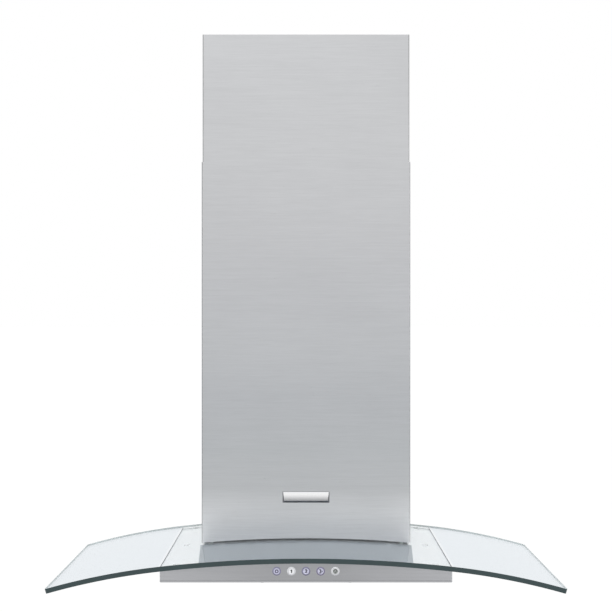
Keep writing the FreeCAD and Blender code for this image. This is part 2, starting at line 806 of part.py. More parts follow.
def body_shell():
    made = body("body_shell")
    half = "(body_width / 2)"
    pad(made, "XY_Plane", "glass_crown", offset="body_foot",
        loops=[wrap(half, "body_depth", "body_bend", None)])
    pocket(made, "XZ_Plane", back=True,
           loops=[above_arch("glass_thickness + skin_gap", half, "2 * glass_crown")])
    bend, rear = "(body_bend - sheet)", "(sheet + fold_gap)"
    edge, front = f"({half} - sheet)", "(body_depth - sheet)"
    inner = f"({edge} - flange)"
    ring = [(f"-{edge}", f"-{rear}"), (f"-{edge}", f"-({front} - {bend})", "left", bend),
            (f"-({edge} - {bend})", f"-{front}"), (f"{edge} - {bend}", f"-{front}", "left", bend),
            (edge, f"-({front} - {bend})"), (edge, f"-{rear}"), (inner, f"-{rear}"),
            (inner, f"-({front} - flange)"), (f"-{inner}", f"-({front} - flange)"),
            (f"-{inner}", f"-{rear}")]
    pad(made, "XY_Plane", "sheet", offset="body_foot", loops=[ring])
    pocket(made, "XZ_Plane", "2 * sheet", offset="body_depth",
           circles=[(x, "button_level", "bezel_sleeve + hole_gap") for x in BUTTONS])
    pocket(made, "XY_Plane", "sheet", offset=f"body_foot + sheet",
           circles=[(x, f"-{front}", "screw_hole") for x, front in BODY_SCREWS])


def body_top_plate():
    made = body("body_top_plate")
    inset = "(sheet + fold_gap)"
    pad(made, "XZ_Plane", f"body_depth - 2 * {inset}", offset=inset,
        loops=[arched_band("plate_top", "plate_foot", "body_edge")])
    half = "(box_width / 2 + sheet)"
    pocket(made, "XY_Plane", back=True,
           loops=[rectangle(f"-{half}", half, "-(box_depth + 2 * sheet)", "0")])
    pocket(made, "XY_Plane", back=True,
           circles=[(x, f"-{front}", "bolt_radius + hole_gap") for x, front in GLASS_BOLTS])


def body_back_plate():
    made = body("body_back_plate")
    pad(made, "XZ_Plane", "sheet",
        loops=[below_arch("plate_top", "body_edge", "0")])
    screws = [(f"{side}{x}", "box_screw_level", "screw_hole")
              for side in SIDES.values() for x in ("box_screw_x", "box_screw_inner")]
    wall_holes = [(f"{side}safety_spacing / 2", "safety_level", "safety_hole")
                  for side in SIDES.values()]
    pocket(made, "XZ_Plane", back=True, circles=screws + wall_holes)


def bottom_panel():
    made = body("bottom_panel")
    half, rear = "(body_width / 2)", "(sheet + fold_gap)"

    def plan(inset):
        edge, front = f"({half} - {inset})", f"(body_depth - {inset})"
        return [(f"-{edge}", f"-{rear}"),
                (f"-{edge}", f"-({front} - body_bend)", "left", "body_bend"),
                (f"-({edge} - body_bend)", f"-{front}"),
                (f"{edge} - body_bend", f"-{front}", "left", "body_bend"),
                (edge, f"-({front} - body_bend)"), (edge, f"-{rear}")]

    openings = []
    for side in (-1, 1):
        middle = f"({side} * opening_x)"
        openings.append(rectangle(
            f"({middle} - opening_width / 2)", f"({middle} + opening_width / 2)",
            "-(filter_rear + filter_length + 2 * filter_gap)", "-filter_rear"))
    lamps = [(f"{side}lamp_x", "-lamp_front", "lamp_hole") for side in SIDES.values()]
    pad(made, "XY_Plane", "sheet", loops=[plan("0")] + openings, circles=lamps)
    inner = f"({half} - hem_width)"
    well = rectangle(f"-{inner}", inner, "-(body_depth - hem_width)", f"-({rear} + hem_width)")
    pad(made, "XY_Plane", "hem - sheet", offset="sheet", loops=[plan("0"), well])
    pad(made, "XY_Plane", "seam", offset="hem", loops=[plan("seam_depth"), well])
    pocket(made, "XY_Plane", back=True,
           circles=[(x, f"-{front}", "screw_hole") for x, front in BODY_SCREWS])


def body_screws():
    fasteners("body_screws", [(x, f"-{front}", "0", "+Z") for x, front in BODY_SCREWS],
              "screw_length", head_height="hem_screw_head")


# ---- air box and blower --------------------------------------------------------------------------

def motor_box():
    made = body("motor_box")
    half = "(box_width / 2)"
    front = "(box_depth + sheet)"
    pad(made, "XY_Plane", "box_top - box_foot", offset="box_foot",
        loops=[rectangle(f"-{half}", half, f"-{front}", "-sheet")])
    pocket(made, "XY_Plane", "box_top - box_foot - sheet", offset="box_foot", back=True,
           loops=[rectangle(f"-({half} - sheet)", f"({half} - sheet)", "-box_depth",
                            "-(2 * sheet)")])
    pad(made, "XZ_Plane", "sheet", offset="sheet",
        loops=[rectangle(f"-{half}", half, "box_tail", "(box_foot + sheet)")])
    corner = "(collar_screw * sqrt(0.5))"
    screws = [(f"{side}{corner}", f"-(collar_front {depth} {corner})", "screw_hole")
              for side in SIDES.values() for depth in ("-", "+")]
    mouth = rectangle("-(scroll_width / 2 - scroll_wall)", "(scroll_width / 2 - scroll_wall)",
                      f"-(collar_front + scroll_mouth / 2)",
                      f"-(collar_front - scroll_mouth / 2)")
    pocket(made, "XY_Plane", "2 * sheet", offset="box_top", loops=[mouth],
           circles=screws + [("-cable_x", "-cable_rear", "cable_radius + hole_gap")])
    slots = []
    for side in (-1, 1):
        middle, reach = f"({side} * hang_spacing / 2)", "(hang_slot / 2)"
        slots.append(rounded(f"({middle} - {reach})", f"({middle} + {reach})",
                             "(hang_level - hang_radius)", "(hang_level + hang_radius)",
                             f"(hang_radius * {FULL_ROUND})"))
    pocket(made, "XZ_Plane", "3 * sheet", back=True, loops=slots)
    pocket(made, "XZ_Plane", "3 * sheet", back=True,
           circles=[(f"{side}{x}", "box_screw_level", "screw_hole")
                    for side in SIDES.values() for x in ("box_screw_x", "box_screw_inner")])
    drill(made, "YZ_Plane", [("-(clip_front - clip_width / 2)", "(clip_level + clip_height / 2)",
                              "screw_hole")])


def box_screws():
    fasteners("box_screws",
              [(f"{side}{x}", "-(2 * sheet)", "box_screw_level", "+Y")
               for side in SIDES.values() for x in ("box_screw_x", "box_screw_inner")],
              "2 * sheet")


def scroll_plan(wall):
    """Spiral of three quarter arcs and a straight mouth, grown outwards by a wall."""
    base = f"(scroll_base + {wall})"
    tongue = f"(scroll_base + 3 * scroll_step - scroll_mouth - {wall})"
    top = "(box_top - sheet)"

    def at(forward, up):
        return f"-(fan_front + {forward})", f"(fan_level + {up})"

    return [(f"-(fan_front + {tongue})", top), at(tongue, base),
            at("0", base) + ("right", base),
            at(f"(0 - {base})", "0") + ("right", f"{base} + scroll_step"),
            at("scroll_step", f"(0 - {base} - scroll_step)")
            + ("right", f"{base} + 2 * scroll_step"),
            at(f"(3 * scroll_step + {base})", "scroll_step"),
            (f"-(fan_front + 3 * scroll_step + {base})", top)]


def blower_housing(side):
    made = body(f"blower_housing_{side}")
    left = side == "left"
    half = "(scroll_width / 2)"
    pad(made, "YZ_Plane", half, loops=[scroll_plan("scroll_wall")], back=left)
    pocket(made, "YZ_Plane", f"{half} - scroll_wall", loops=[scroll_plan("0")], back=not left)
    pocket(made, "YZ_Plane", back=not left,
           circles=[("-fan_front", "fan_level", "inlet_radius")])


def inlet_rings():
    """Bell mouths in the two inlets of the scroll."""
    rings = []
    for side, turned in (("left", 180), ("right", 0)):
        ring = body(f"inlet_ring_{side}", x=f"{SIDES[side]}scroll_width / 2", y="-fan_front",
                    z="fan_level", turned=turned, kept=False)
        outer = "(inlet_radius - hole_gap)"
        inner = f"({outer} - ring_wall)"
        spin(ring, "XY_Plane", [
            ("-ring_sleeve", inner), ("0", inner, "left", "ring_height"),
            ("ring_height", f"{inner} + ring_height"), ("ring_height", "ring_lip - ring_wall"),
            ("0", "ring_lip"), ("0", outer), ("-ring_sleeve", outer)], "H")
        rings.append(ring)
    register(joined(rings), "inlet_rings")


def impeller():
    """Forward-curved wheel: a middle disc carries the blades, and a ring ties each end."""
    made = body("impeller", y="-fan_front", z="fan_level")
    bore, half_hub = "(shaft_radius + shaft_gap)", "(hub_length / 2)"
    half_disc = "(impeller_disc / 2)"
    spin(made, "XY_Plane", [
        (f"-{half_hub}", bore), (half_hub, bore), (half_hub, "hub_radius"),
        (half_disc, "hub_radius"), (half_disc, "impeller_radius"),
        (f"-{half_disc}", "impeller_radius"), (f"-{half_disc}", "hub_radius"),
        (f"-{half_hub}", "hub_radius")], "H")
    tip, sweep = "(impeller_radius - blade_thickness)", "(blade_sweep - blade_thickness / 2)"
    blade = [("blade_inner", "-blade_thickness / 2", "left", "blade_bend"), (tip, sweep),
             (f"{tip} - blade_tip", f"{sweep} + blade_thickness", "right",
              "blade_bend - blade_thickness"), ("blade_inner", "blade_thickness / 2")]
    first = pad(made, "YZ_Plane", "impeller_width", offset="-impeller_width / 2", loops=[blade])
    polar(made, first, first.Profile[0], "blade_count")
    for offset in ("-impeller_width / 2", "impeller_width / 2 - impeller_ring"):
        pad(made, "YZ_Plane", "impeller_ring", offset=offset,
            circles=[("0", "0", "impeller_radius"), ("0", "0", "blade_inner - wheel_step")])


def motor_shaft():
    shaft = rod("-shaft_end", "-fan_front", "fan_level", "shaft_radius",
                "shaft_end + motor_end", "+X")
    register(shaft, "motor_shaft")


def fan_motor():
    made = body("fan_motor", y="-fan_front", z="fan_level")
    bore, end = "(shaft_radius + shaft_gap)", "motor_end"
    spin(made, "XY_Plane", [
        ("motor_start", bore), (end, bore), (end, "motor_radius - motor_round"),
        (f"{end} - motor_round", "motor_radius"),
        ("motor_start + 2 * motor_round", "motor_radius"),
        ("motor_start + motor_round", "motor_radius - motor_round"),
        ("motor_start + motor_round", "motor_boss"), ("motor_start", "motor_boss")], "H")


THIRDS = (90, 210, 330)
BETWEEN = (30, 150, 270)


def around(radius, angle):
    """Place on a circle about the fan's axis, at an angle from -Y."""
    return (f"-(fan_front + {radius} * cos({angle} deg))",
            f"(fan_level + {radius} * sin({angle} deg))")


def motor_bushes():
    bushes = [rod("motor_end", *around("bush_circle", angle), "bush_radius", "bush_length", "+X")
              for angle in THIRDS]
    register(joined(bushes), "motor_bushes")


def motor_bracket():
    """Spider plate behind the motor on three posts that stand on the scroll's side."""
    made = body("motor_bracket")
    plate = "(motor_end + bush_length)"
    windows = [around("window_circle", angle) + ("window_radius",) for angle in BETWEEN]
    pad(made, "YZ_Plane", "spider_plate", offset=plate,
        circles=[("-fan_front", "fan_level", "spider_radius"),
                 ("-fan_front", "fan_level", "spider_bore")] + windows)
    pad(made, "YZ_Plane", f"{plate} - scroll_width / 2 + sheet", offset="scroll_width / 2",
        circles=[around("post_circle", angle) + ("post_radius",) for angle in THIRDS])


# ---- outlet collar and damper --------------------------------------------------------------------

def outlet_collar():
    made = body("outlet_collar", y=f"-collar_front", z="box_top")
    inner = "(collar_radius - collar_wall)"
    top = "(damper_level - flap_thickness / 2 - run_gap)"
    ledge = f"({inner} - ledge)"
    spin(made, "XZ_Plane", [
        (inner, "0"), ("collar_flange", "0"), ("collar_flange", "collar_plate"),
        ("collar_radius", "collar_plate"), ("collar_radius", "collar_height"),
        (inner, "collar_height"), (inner, top), (ledge, top), (ledge, f"{top} - ledge_height"),
        (inner, f"{top} - ledge_height")], "V")
    drill(made, "YZ_Plane", [("0", "damper_level", "damper_pin + damper_gap")])
    corner = "(collar_screw * sqrt(0.5))"
    pocket(made, "XY_Plane", "collar_plate", back=True,
           circles=[(f"{side}{corner}", f"{depth}{corner}", "screw_hole")
                    for side in SIDES.values() for depth in ("-", "")])
    pocket(made, "XY_Plane", "screw_head_height", offset="collar_plate",
           circles=[(f"{side}{corner}", f"{depth}{corner}", "collar_screw_head + hole_gap")
                    for side in SIDES.values() for depth in ("-", "")])


def collar_screws():
    """Heads flush with the collar's flange."""
    corner = "(collar_screw * sqrt(0.5))"
    fasteners("collar_screws",
              [(f"{side}{corner}", f"-(collar_front {depth} {corner})",
                "(box_top + collar_plate - screw_head_height)", "-Z")
               for side in SIDES.values() for depth in ("-", "+")], "collar_screw_length",
              head="collar_screw_head")


def damper_pin():
    half = "(collar_radius - collar_wall / 4)"
    register(rod(f"-{half}", f"-collar_front", "(box_top + damper_level)", "damper_pin",
                 f"2 * {half}", "+X"), "damper_pin")


KNUCKLES = (-1.5, 0.5)  # places in the row of four knuckles that two flaps share


def damper_flap(label, turned):
    """Half disc with two knuckles on the pin; the other flap is the same piece turned round."""
    made = body(label, y=f"-collar_front", z="(box_top + damper_level)", turned=turned)
    radius = "(collar_radius - collar_wall - flap_edge)"
    near = "(knuckle_radius + run_gap)"
    reach = f"sqrt({radius}^2 - {near}^2)"
    pitch = "(knuckle_length + run_gap)"
    pad(made, "XY_Plane", "flap_thickness", offset="-flap_thickness / 2",
        loops=[[(f"-{reach}", f"-{near}", "left", radius), (reach, f"-{near}")]])
    starts = [f"({in_row} * {pitch} - knuckle_length / 2)" for in_row in KNUCKLES]
    pad(made, "XY_Plane", "flap_thickness", offset="-flap_thickness / 2",
        loops=[rectangle(start, f"({start} + knuckle_length)", f"-({near} + sheet)", "0")
               for start in starts])
    for start in starts:
        pad(made, "YZ_Plane", "knuckle_length", offset=start,
            circles=[("0", "0", "knuckle_radius")])
    drill(made, "YZ_Plane", [("0", "0", "damper_pin + damper_gap")])


# ---- electrics -----------------------------------------------------------------------------------

def junction_box():
    made = body("junction_box", x="-junction_x", y="-junction_front",
                z="box_top")
    half_x, half_y = "(junction_width / 2)", "(junction_depth / 2)"
    pad(made, "XY_Plane", "junction_height",
        loops=[rounded(f"-{half_x}", half_x, f"-{half_y}", half_y, "junction_wall")])
    in_x, in_y = f"({half_x} - junction_wall)", f"({half_y} - junction_wall)"
    pocket(made, "XY_Plane", "junction_height - junction_wall", offset="junction_height",
           loops=[rectangle(f"-{in_x}", in_x, f"-{in_y}", in_y)])
    pocket(made, "XY_Plane", "2 * junction_wall", back=True,
           circles=[("(junction_x - cable_x)", "(junction_front - cable_rear)",
                     "cable_radius + hole_gap")])


def junction_cover():
    made = body("junction_cover", x="-junction_x", y="-junction_front",
                z="(box_top + junction_height)")
    half_x, half_y = "(junction_width / 2)", "(junction_depth / 2)"
    pad(made, "XY_Plane", "junction_wall",
        loops=[rounded(f"-{half_x}", half_x, f"-{half_y}", half_y, "junction_wall")])
    pocket(made, "XY_Plane", back=True,
           circles=[("(junction_x - gland_x)", "0", "gland_stem + hole_gap")])


def cable_gland():
    made = body("cable_gland", x="-gland_x", y="-junction_front",
                z="(box_top + junction_height + junction_wall)")
    nut = "gland_hex"
    spin(made, "XZ_Plane", [
        ("gland_bore", "-3 * junction_wall"), ("gland_stem", "-3 * junction_wall"),
        ("gland_stem", "0"), ("gland_nut", "0"), ("gland_nut", nut),
        ("gland_nut - sheet", nut), ("gland_nut - sheet", f"2 * {nut}", "left", f"2 * {nut}"),
        ("gland_stem", "gland_length"), ("gland_bore", "gland_length")], "V")


def box_top_electrics():
    register(block("-(terminal_x + terminal_width / 2)", "-(junction_front + terminal_depth / 2)",
                   "(box_top + junction_wall)", "terminal_width", "terminal_depth",
                   "terminal_height"), "terminal_block")
    register(block("-driver_x", "-(driver_rear + driver_depth)", "box_top", "driver_width",
                   "driver_depth", "driver_height"), "lamp_driver")
    made = body("capacitor", x="capacitor_x", y="-capacitor_front", z="box_top")
    spin(made, "XZ_Plane", [
        ("0", "0"), ("capacitor_radius", "0"), ("capacitor_radius", "capacitor_height - sheet"),
        ("capacitor_radius - sheet", "capacitor_height"), ("0", "capacitor_height")], "V")


def cable(name, plane, offset, route, start, radius, start_plane, start_offset):
    """A round cable swept along a route drawn parallel to one origin plane."""
    made = body(name, kept=False)
    path = empty_sketch(made, f"{name}_route", plane, offset)
    chain(path, route, closed=False)
    section = empty_sketch(made, f"{name}_section", start_plane, start_offset)
    circle(section, start[0], start[1], radius)
    doc.recompute()
    swept = made.newObject("PartDesign::AdditivePipe", f"{name}_sweep")
    swept.Profile = section
    swept.Spine = (path, [f"Edge{number + 1}" for number in range(len(path.Shape.Edges))])
    doc.recompute()
    return made


def wiring_harness():
    """Supply cable from the junction box down to the control board, and a lead to each lamp."""
    top = "(box_top + 2 * junction_wall)"
    board_rear = "(housing_rear + run_gap)"
    trunk = cable("trunk", "YZ_Plane", "-cable_x", [
        ("-cable_rear", top),
        ("-cable_rear", "(cable_level + cable_bend)", "right", "cable_bend"),
        ("-(cable_rear + cable_bend)", "cable_level"), (f"-{board_rear}", "cable_level")],
        ("-cable_x", "-cable_rear"), "cable_radius", "XY_Plane", top)
    leads = []
    for side, turn in (("left", "right"), ("right", "left")):
        sign = SIDES[side]
        end = f"-(lamp_front + lamp_hole - hole_gap)"
        lead = cable(f"lead_{side}", "XY_Plane", "lamp_cable_level", [
            (f"{sign}(control_width / 2)", "-lamp_cable_front"),
            (f"{sign}(lamp_x - lamp_cable_bend)", "-lamp_cable_front", turn, "lamp_cable_bend"),
            (f"{sign}lamp_x", "-(lamp_cable_front - lamp_cable_bend)"), (f"{sign}lamp_x", end)],
            ("-lamp_cable_front", "lamp_cable_level"), "lamp_cable_radius", "YZ_Plane",
            f"{sign}(control_width / 2)")
        leads.append(lead)
    register(joined([trunk] + leads), "wiring_harness")


# ---- controls ------------------------------------------------------------------------------------

def control_housing():
    made = body("control_housing")
    half, low = "(control_width / 2)", "(button_level - control_height / 2)"
    high = "(button_level + control_height / 2)"
    pad(made, "XZ_Plane", "control_depth", offset="housing_rear",
        loops=[rectangle(f"-{half}", half, low, high)])
    feet = [rectangle(f"({half} - control_foot)", half, f"(body_foot + sheet)",
                      f"({low} + sheet)"),
            rectangle(f"-{half}", f"-({half} - control_foot)", f"(body_foot + sheet)",
                      f"({low} + sheet)")]
    pad(made, "XZ_Plane", "control_depth / 2", offset=f"housing_rear + control_depth / 2",
        loops=feet)
    pocket(made, "XZ_Plane", "control_depth - control_wall", offset="housing_rear", back=True,
           loops=[rectangle(f"-({half} - control_wall)", f"({half} - control_wall)",
                            f"({low} + control_wall)", f"({high} - control_wall)")])
    pocket(made, "XZ_Plane", "2 * control_wall", offset=f"housing_rear + control_depth",
           circles=[(x, "button_level", "bezel_sleeve + hole_gap") for x in BUTTONS])


def control_board():
    made = body("control_board")
    half = "(control_width / 2 - control_wall - run_gap)"
    rise = "(control_height / 2 - control_wall - run_gap)"
    pad(made, "XZ_Plane", "board_thickness", offset=f"housing_rear + run_gap",
        loops=[rectangle(f"-{half}", half, f"(button_level - {rise})",
                         f"(button_level + {rise})")])


def tact_switches():
    switches = [block(f"({x} - switch_size / 2)", f"-(board_front + switch_height)",
                      "(button_level - switch_size / 2)", "switch_size", "switch_height",
                      "switch_size") for x in BUTTONS]
    register(joined(switches), "tact_switches")


def button_bezels():
    solid, bores = [], []
    for x in BUTTONS:
        solid.append(rod(x, "-body_depth", "button_level", "bezel_sleeve", "bezel_depth", "+Y"))
        solid.append(rod(x, "-body_depth", "button_level", "bezel_radius", "bezel_proud / 2",
                         "-Y"))
        crown = doc.addObject("Part::Cone", "crown")
        crown.setExpression("Radius1", bound("bezel_radius"))
        crown.setExpression("Radius2", bound("bezel_radius - bezel_proud / 2"))
        crown.setExpression("Height", bound("bezel_proud / 2"))
        crown.Placement = Placement(Vector(), Rotation(AXES["Z"], -AXES["Y"]))
        place(crown, x, "-(body_depth + bezel_proud / 2)", "button_level")
        solid.append(crown)
        bores.append(rod(x, "-(body_depth + 2 * bezel_proud)", "button_level",
                         "button_cap + bezel_gap", "2 * bezel_depth", "+Y"))
    register(cut(joined(solid), joined(bores)), "button_bezels")


def button(number, x):
    """Push button: cap, retaining flange behind the bezel, and stem short of its switch."""
    made = body(f"button_{number}", x=x, z="button_level")
    front = "-(body_depth + button_proud)"
    flange = "-(body_depth - bezel_depth - run_gap)"
    stem = f"-(board_front + switch_height + button_travel + run_gap)"
    spin(made, "XY_Plane", [
        ("0", front), ("button_cap - button_round", front),
        ("button_cap", f"{front} + button_round"), ("button_cap", flange),
        ("button_flange", flange), ("button_flange", f"{flange} + sheet"),
        ("button_stem", f"{flange} + sheet"), ("button_stem", stem), ("0", stem)], "V")


# ---- lamps ---------------------------------------------------------------------------------------

def lamps():
    bezels, lenses, cups, leds = [], [], [], []
    sleeve = "(lamp_hole - hole_gap)"
    inner = "(lamp_lens + run_gap)"
    for side, sign in SIDES.items():
        x, y = f"{sign}lamp_x", "-lamp_front"
        bezel = body(f"lamp_bezel_{side}", x=x, y=y, kept=False)
        spin(bezel, "XZ_Plane", [
            ("lamp_lens - lamp_wall", "-lamp_lip"), ("lamp_bezel - sheet", "-lamp_lip"),
            ("lamp_bezel", "-lamp_lip / 2"), ("lamp_bezel", "0"), (sleeve, "0"),
            (sleeve, "lamp_sleeve"), (inner, "lamp_sleeve"), (inner, "-lamp_seat"),
            ("lamp_lens - lamp_wall", "-lamp_seat")], "V")
        bezels.append(bezel)
        lenses.append(rod(x, y, "-lamp_seat", "lamp_lens", "lamp_glass", "+Z"))
        cup = body(f"lamp_cup_{side}", x=x, y=y, kept=False)
        spin(cup, "XZ_Plane", [
            (f"{sleeve} - lamp_wall", "lamp_sleeve"), (sleeve, "lamp_sleeve"),
            (sleeve, "lamp_top"), ("0", "lamp_top"), ("0", "lamp_top - lamp_wall"),
            (f"{sleeve} - lamp_wall", "lamp_top - lamp_wall")], "V")
        cups.append(cup)
        leds.append(rod(x, y, "lamp_top - lamp_wall", "led_radius", "led_thickness", "-Z"))
    for label, pieces in (("lamp_bezels", bezels), ("lamp_lenses", lenses),
                          ("lamp_housings", cups), ("lamp_leds", leds)):
        register(joined(pieces), label)


# ---- grease filters ------------------------------------------------------------------------------

def filter_place(side):
    """A filter's own origin: the middle of its rear lower edge, which it swings about."""
    return {"x": f"{SIDES[side]}opening_x", "y": "-(filter_rear + filter_gap)"}


def filter_frame(side):
    made = body(f"filter_frame_{side}", **filter_place(side))
    half = "(filter_width / 2)"

    def ring(inset):
        return [rounded(f"-{half}", half, "-filter_length", "0", "sheet"),
                rectangle(f"-({half} - {inset})", f"({half} - {inset})",
                          f"-(filter_length - {inset})", f"-{inset}")]

    lip, rim = "filter_lip", "filter_rim"
    pad(made, "XY_Plane", lip, loops=ring(rim))
    pad(made, "XY_Plane", f"filter_thickness - 2 * {lip}", offset=lip,
        loops=ring("(filter_rim - filter_groove)"))
    pad(made, "XY_Plane", lip, offset=f"filter_thickness - {lip}", loops=ring(rim))
    wide, front = "(housing_width / 2)", "(filter_length - sheet)"
    pad(made, "XY_Plane", "filter_thickness",
        loops=[rectangle(f"-{wide}", wide, f"-{front}", "-(filter_length - housing_length)")])
    tab = "(filter_tab_width / 2)"
    tabs = [rectangle(f"({place_x} - {tab})", f"({place_x} + {tab})", "-sheet", "filter_tab")
            for place_x in ("-filter_tab_x", "filter_tab_x")]
    pad(made, "XY_Plane", "filter_tab_plate", offset="sheet + run_gap", loops=tabs)
    slide = "(latch_width / 2 + run_gap)"
    rear = f"(latch_rear_stop + latch_length + run_gap)"
    pocket(made, "XY_Plane", "latch_roof - latch_floor", offset="latch_roof",
           loops=[rectangle(f"-{slide}", slide, "-(filter_length - latch_wall)",
                            f"-(filter_length - {rear})")])
    grip = "(latch_grip / 2 + run_gap)"
    middle = f"(latch_rear_stop + latch_length / 2)"
    window_front = f"(filter_length - {middle} + latch_travel + latch_grip_length / 2 + run_gap)"
    window_rear = f"(filter_length - {middle} - latch_grip_length / 2 - run_gap)"
    pocket(made, "XY_Plane", "latch_floor + run_gap", back=True,
           loops=[rectangle(f"-{grip}", grip, f"-{window_front}", f"-{window_rear}")])
    tongue = "(latch_tongue / 2 + run_gap)"
    pocket(made, "XZ_Plane", "latch_wall + run_gap", offset="filter_length",
           loops=[rectangle(f"-{tongue}", tongue, "(latch_tongue_low - run_gap)",
                            "(latch_tongue_high + run_gap)")])


def filter_mesh(side):
    made = body(f"filter_mesh_{side}", **filter_place(side))
    inset = "(filter_rim - filter_groove + mesh_gap)"
    half, front = f"(filter_width / 2 - {inset})", f"(filter_length - {inset})"
    wide = "(housing_width / 2 + mesh_gap)"
    notch = "(filter_length - housing_length - mesh_gap)"
    low = "filter_lip + mesh_gap"
    pad(made, "XY_Plane", f"filter_thickness - 2 * ({low})", offset=low, loops=[[
        (f"-{half}", f"-{front}"), (f"-{wide}", f"-{front}"), (f"-{wide}", f"-{notch}"),
        (wide, f"-{notch}"), (wide, f"-{front}"), (half, f"-{front}"), (half, f"-{inset}"),
        (f"-{half}", f"-{inset}")]])


def filter_latch(side):
    """Slide with a tongue at the front and a ridge for the finger; drawn back at rest."""
    made = body(f"filter_latch_{side}", **filter_place(side))
    half, low, high = "(latch_width / 2)", "latch_floor + run_gap", "latch_roof - run_gap"
    front = f"(filter_length - latch_rear_stop)"
    rear = f"({front} - latch_length)"
    pad(made, "XY_Plane", f"{high} - ({low})", offset=low,
        loops=[rectangle(f"-{half}", half, f"-{front}", f"-{rear}")])
    tongue = "(latch_tongue / 2)"
    pad(made, "XY_Plane", "latch_tongue_high - latch_tongue_low", offset="latch_tongue_low",
        loops=[rectangle(f"-{tongue}", tongue, "-(filter_length - run_gap)",
                         f"-({front} - sheet)")])
    grip = "(latch_grip / 2)"
    middle = f"({front} - latch_length / 2)"
    pad(made, "XY_Plane", f"{low} + latch_grip_drop + sheet", offset="-latch_grip_drop",
        loops=[rectangle(f"-{grip}", grip, f"-({middle} + latch_grip_length / 2)",
                         f"-({middle} - latch_grip_length / 2)")])


# ---- chimney covers ------------------------------------------------------------------------------

def lower_chimney():
    made = body("lower_chimney")
    half = "(lower_width / 2)"
    pad(made, "XY_Plane", "lower_top",
        loops=[wrap(half, "lower_depth", "chimney_bend", "cover_return")])
    pocket(made, "XZ_Plane", back=True,
           loops=[below_arch("0 - foot_gap", f"{half} + sheet", "-sheet")])


def badge_plate():
    made = body("badge_plate")
    half, rise = "(badge_width / 2)", "(badge_height / 2)"
    pad(made, "XZ_Plane", "badge_thickness", offset="lower_depth",
        loops=[rounded(f"-{half}", half, f"(badge_level - {rise})", f"(badge_level + {rise})",
                       "badge_corner")])
    face = -value("lower_depth + badge_thickness") + NEAR
    dress(made, "Chamfer", "badge_bevel", lambda box: box.YMax < face)


def chimney_clips():
    """Channel on each side between the air box and the lower cover."""
    clips, bores = [], []
    gap = "(lower_width / 2 - sheet - box_width / 2)"
    rear = "-clip_front"
    hole_y, hole_z = "-(clip_front - clip_width / 2)", "(clip_level + clip_height / 2)"
    for sign, side in ((-1, "left"), (1, "right")):
        low = "(box_width / 2)" if sign > 0 else f"-(box_width / 2 + {gap})"
        near = low if sign > 0 else "-(box_width / 2 + clip_sheet)"
        far = f"({low} + {gap} - clip_sheet)" if sign > 0 else low
        clips.append(block(low, rear, "clip_level", gap, "clip_width", "clip_sheet"))
        for x in (near, far):
            clips.append(block(x, rear, "clip_level", "clip_sheet", "clip_width", "clip_height"))
        bores.append(rod(f"{SIDES[side]}(box_width / 2 - sheet)", hole_y, hole_z, "screw_hole",
                         "4 * clip_sheet", "+X" if sign > 0 else "-X"))
    register(cut(joined(clips), joined(bores)), "chimney_clips")
    fasteners("clip_screws",
              [(f"{sign}(box_width / 2 - sheet)", hole_y, hole_z, along)
               for sign, along in (("-", "-X"), ("", "+X"))], "screw_length")


def upper_chimney():
    made = body("upper_chimney")
    half = "(upper_width / 2)"
    pad(made, "XY_Plane", "upper_top - upper_bottom", offset="upper_bottom",
        loops=[wrap(half, "upper_depth", "chimney_bend", "cover_return", "wall_gap")])
    drill(made, "YZ_Plane", [("-bracket_screw_front", "bracket_level", "screw_hole")])


def ceiling_bracket():
    made = body("ceiling_bracket")
    half = "(upper_width / 2 - sheet - run_gap)"
    rear, front = "bracket_standoff", "(bracket_standoff + bracket_tab)"
    wall = "bracket_sheet"
    profile = [(f"-{half}", f"-{rear}"), (f"-{half}", f"-{front}"),
               (f"-({half} - {wall})", f"-{front}"), (f"-({half} - {wall})", f"-({rear} + {wall})"),
               (f"({half} - {wall})", f"-({rear} + {wall})"), (f"({half} - {wall})", f"-{front}"),
               (half, f"-{front}"), (half, f"-{rear}")]
    pad(made, "XY_Plane", "bracket_height", offset="bracket_level - bracket_height / 2",
        loops=[profile])
    spots = [f"{sign}bracket_hole_spacing / 2" for sign in SIDES.values()]
    pad(made, "XZ_Plane", "bracket_standoff",
        circles=[(x, "bracket_level", "bracket_pad") for x in spots])
    pocket(made, "XZ_Plane", back=True,
           circles=[(x, "bracket_level", "bracket_hole") for x in spots])
    drill(made, "YZ_Plane", [("-bracket_screw_front", "bracket_level", "screw_hole")])


def bracket_screws():
    fasteners("bracket_screws",
              [(f"{sign}upper_width / 2", "-bracket_screw_front", "bracket_level", along)
               for sign, along in (("-", "+X"), ("", "-X"))], "screw_length")


# ---- assembly ------------------------------------------------------------------------------------

def build():
    glass_canopy()
    glass_rest_plate()
    glass_seal()
    glass_pads()
    glass_fixings()
    body_shell()
    body_top_plate()
    body_back_plate()
    bottom_panel()
    body_screws()
    motor_box()
    box_screws()
    for side in SIDES:
        blower_housing(side)
    inlet_rings()
    impeller()
    motor_shaft()
    fan_motor()
    motor_bushes()
    motor_bracket()
    outlet_collar()
    collar_screws()
    damper_pin()
    damper_flap("damper_flap_front", 0)
    damper_flap("damper_flap_rear", 180)
    junction_box()
    junction_cover()
    cable_gland()
    box_top_electrics()
    wiring_harness()
    control_housing()
    control_board()
    tact_switches()
    button_bezels()
    for number, x in enumerate(BUTTONS, start=1):
        button(number, x)
    lamps()
    for side in SIDES:
        filter_frame(side)
        filter_mesh(side)
        filter_latch(side)
    lower_chimney()
    badge_plate()
    chimney_clips()
    upper_chimney()
    ceiling_bracket()
    bracket_screws()
    doc.recompute()


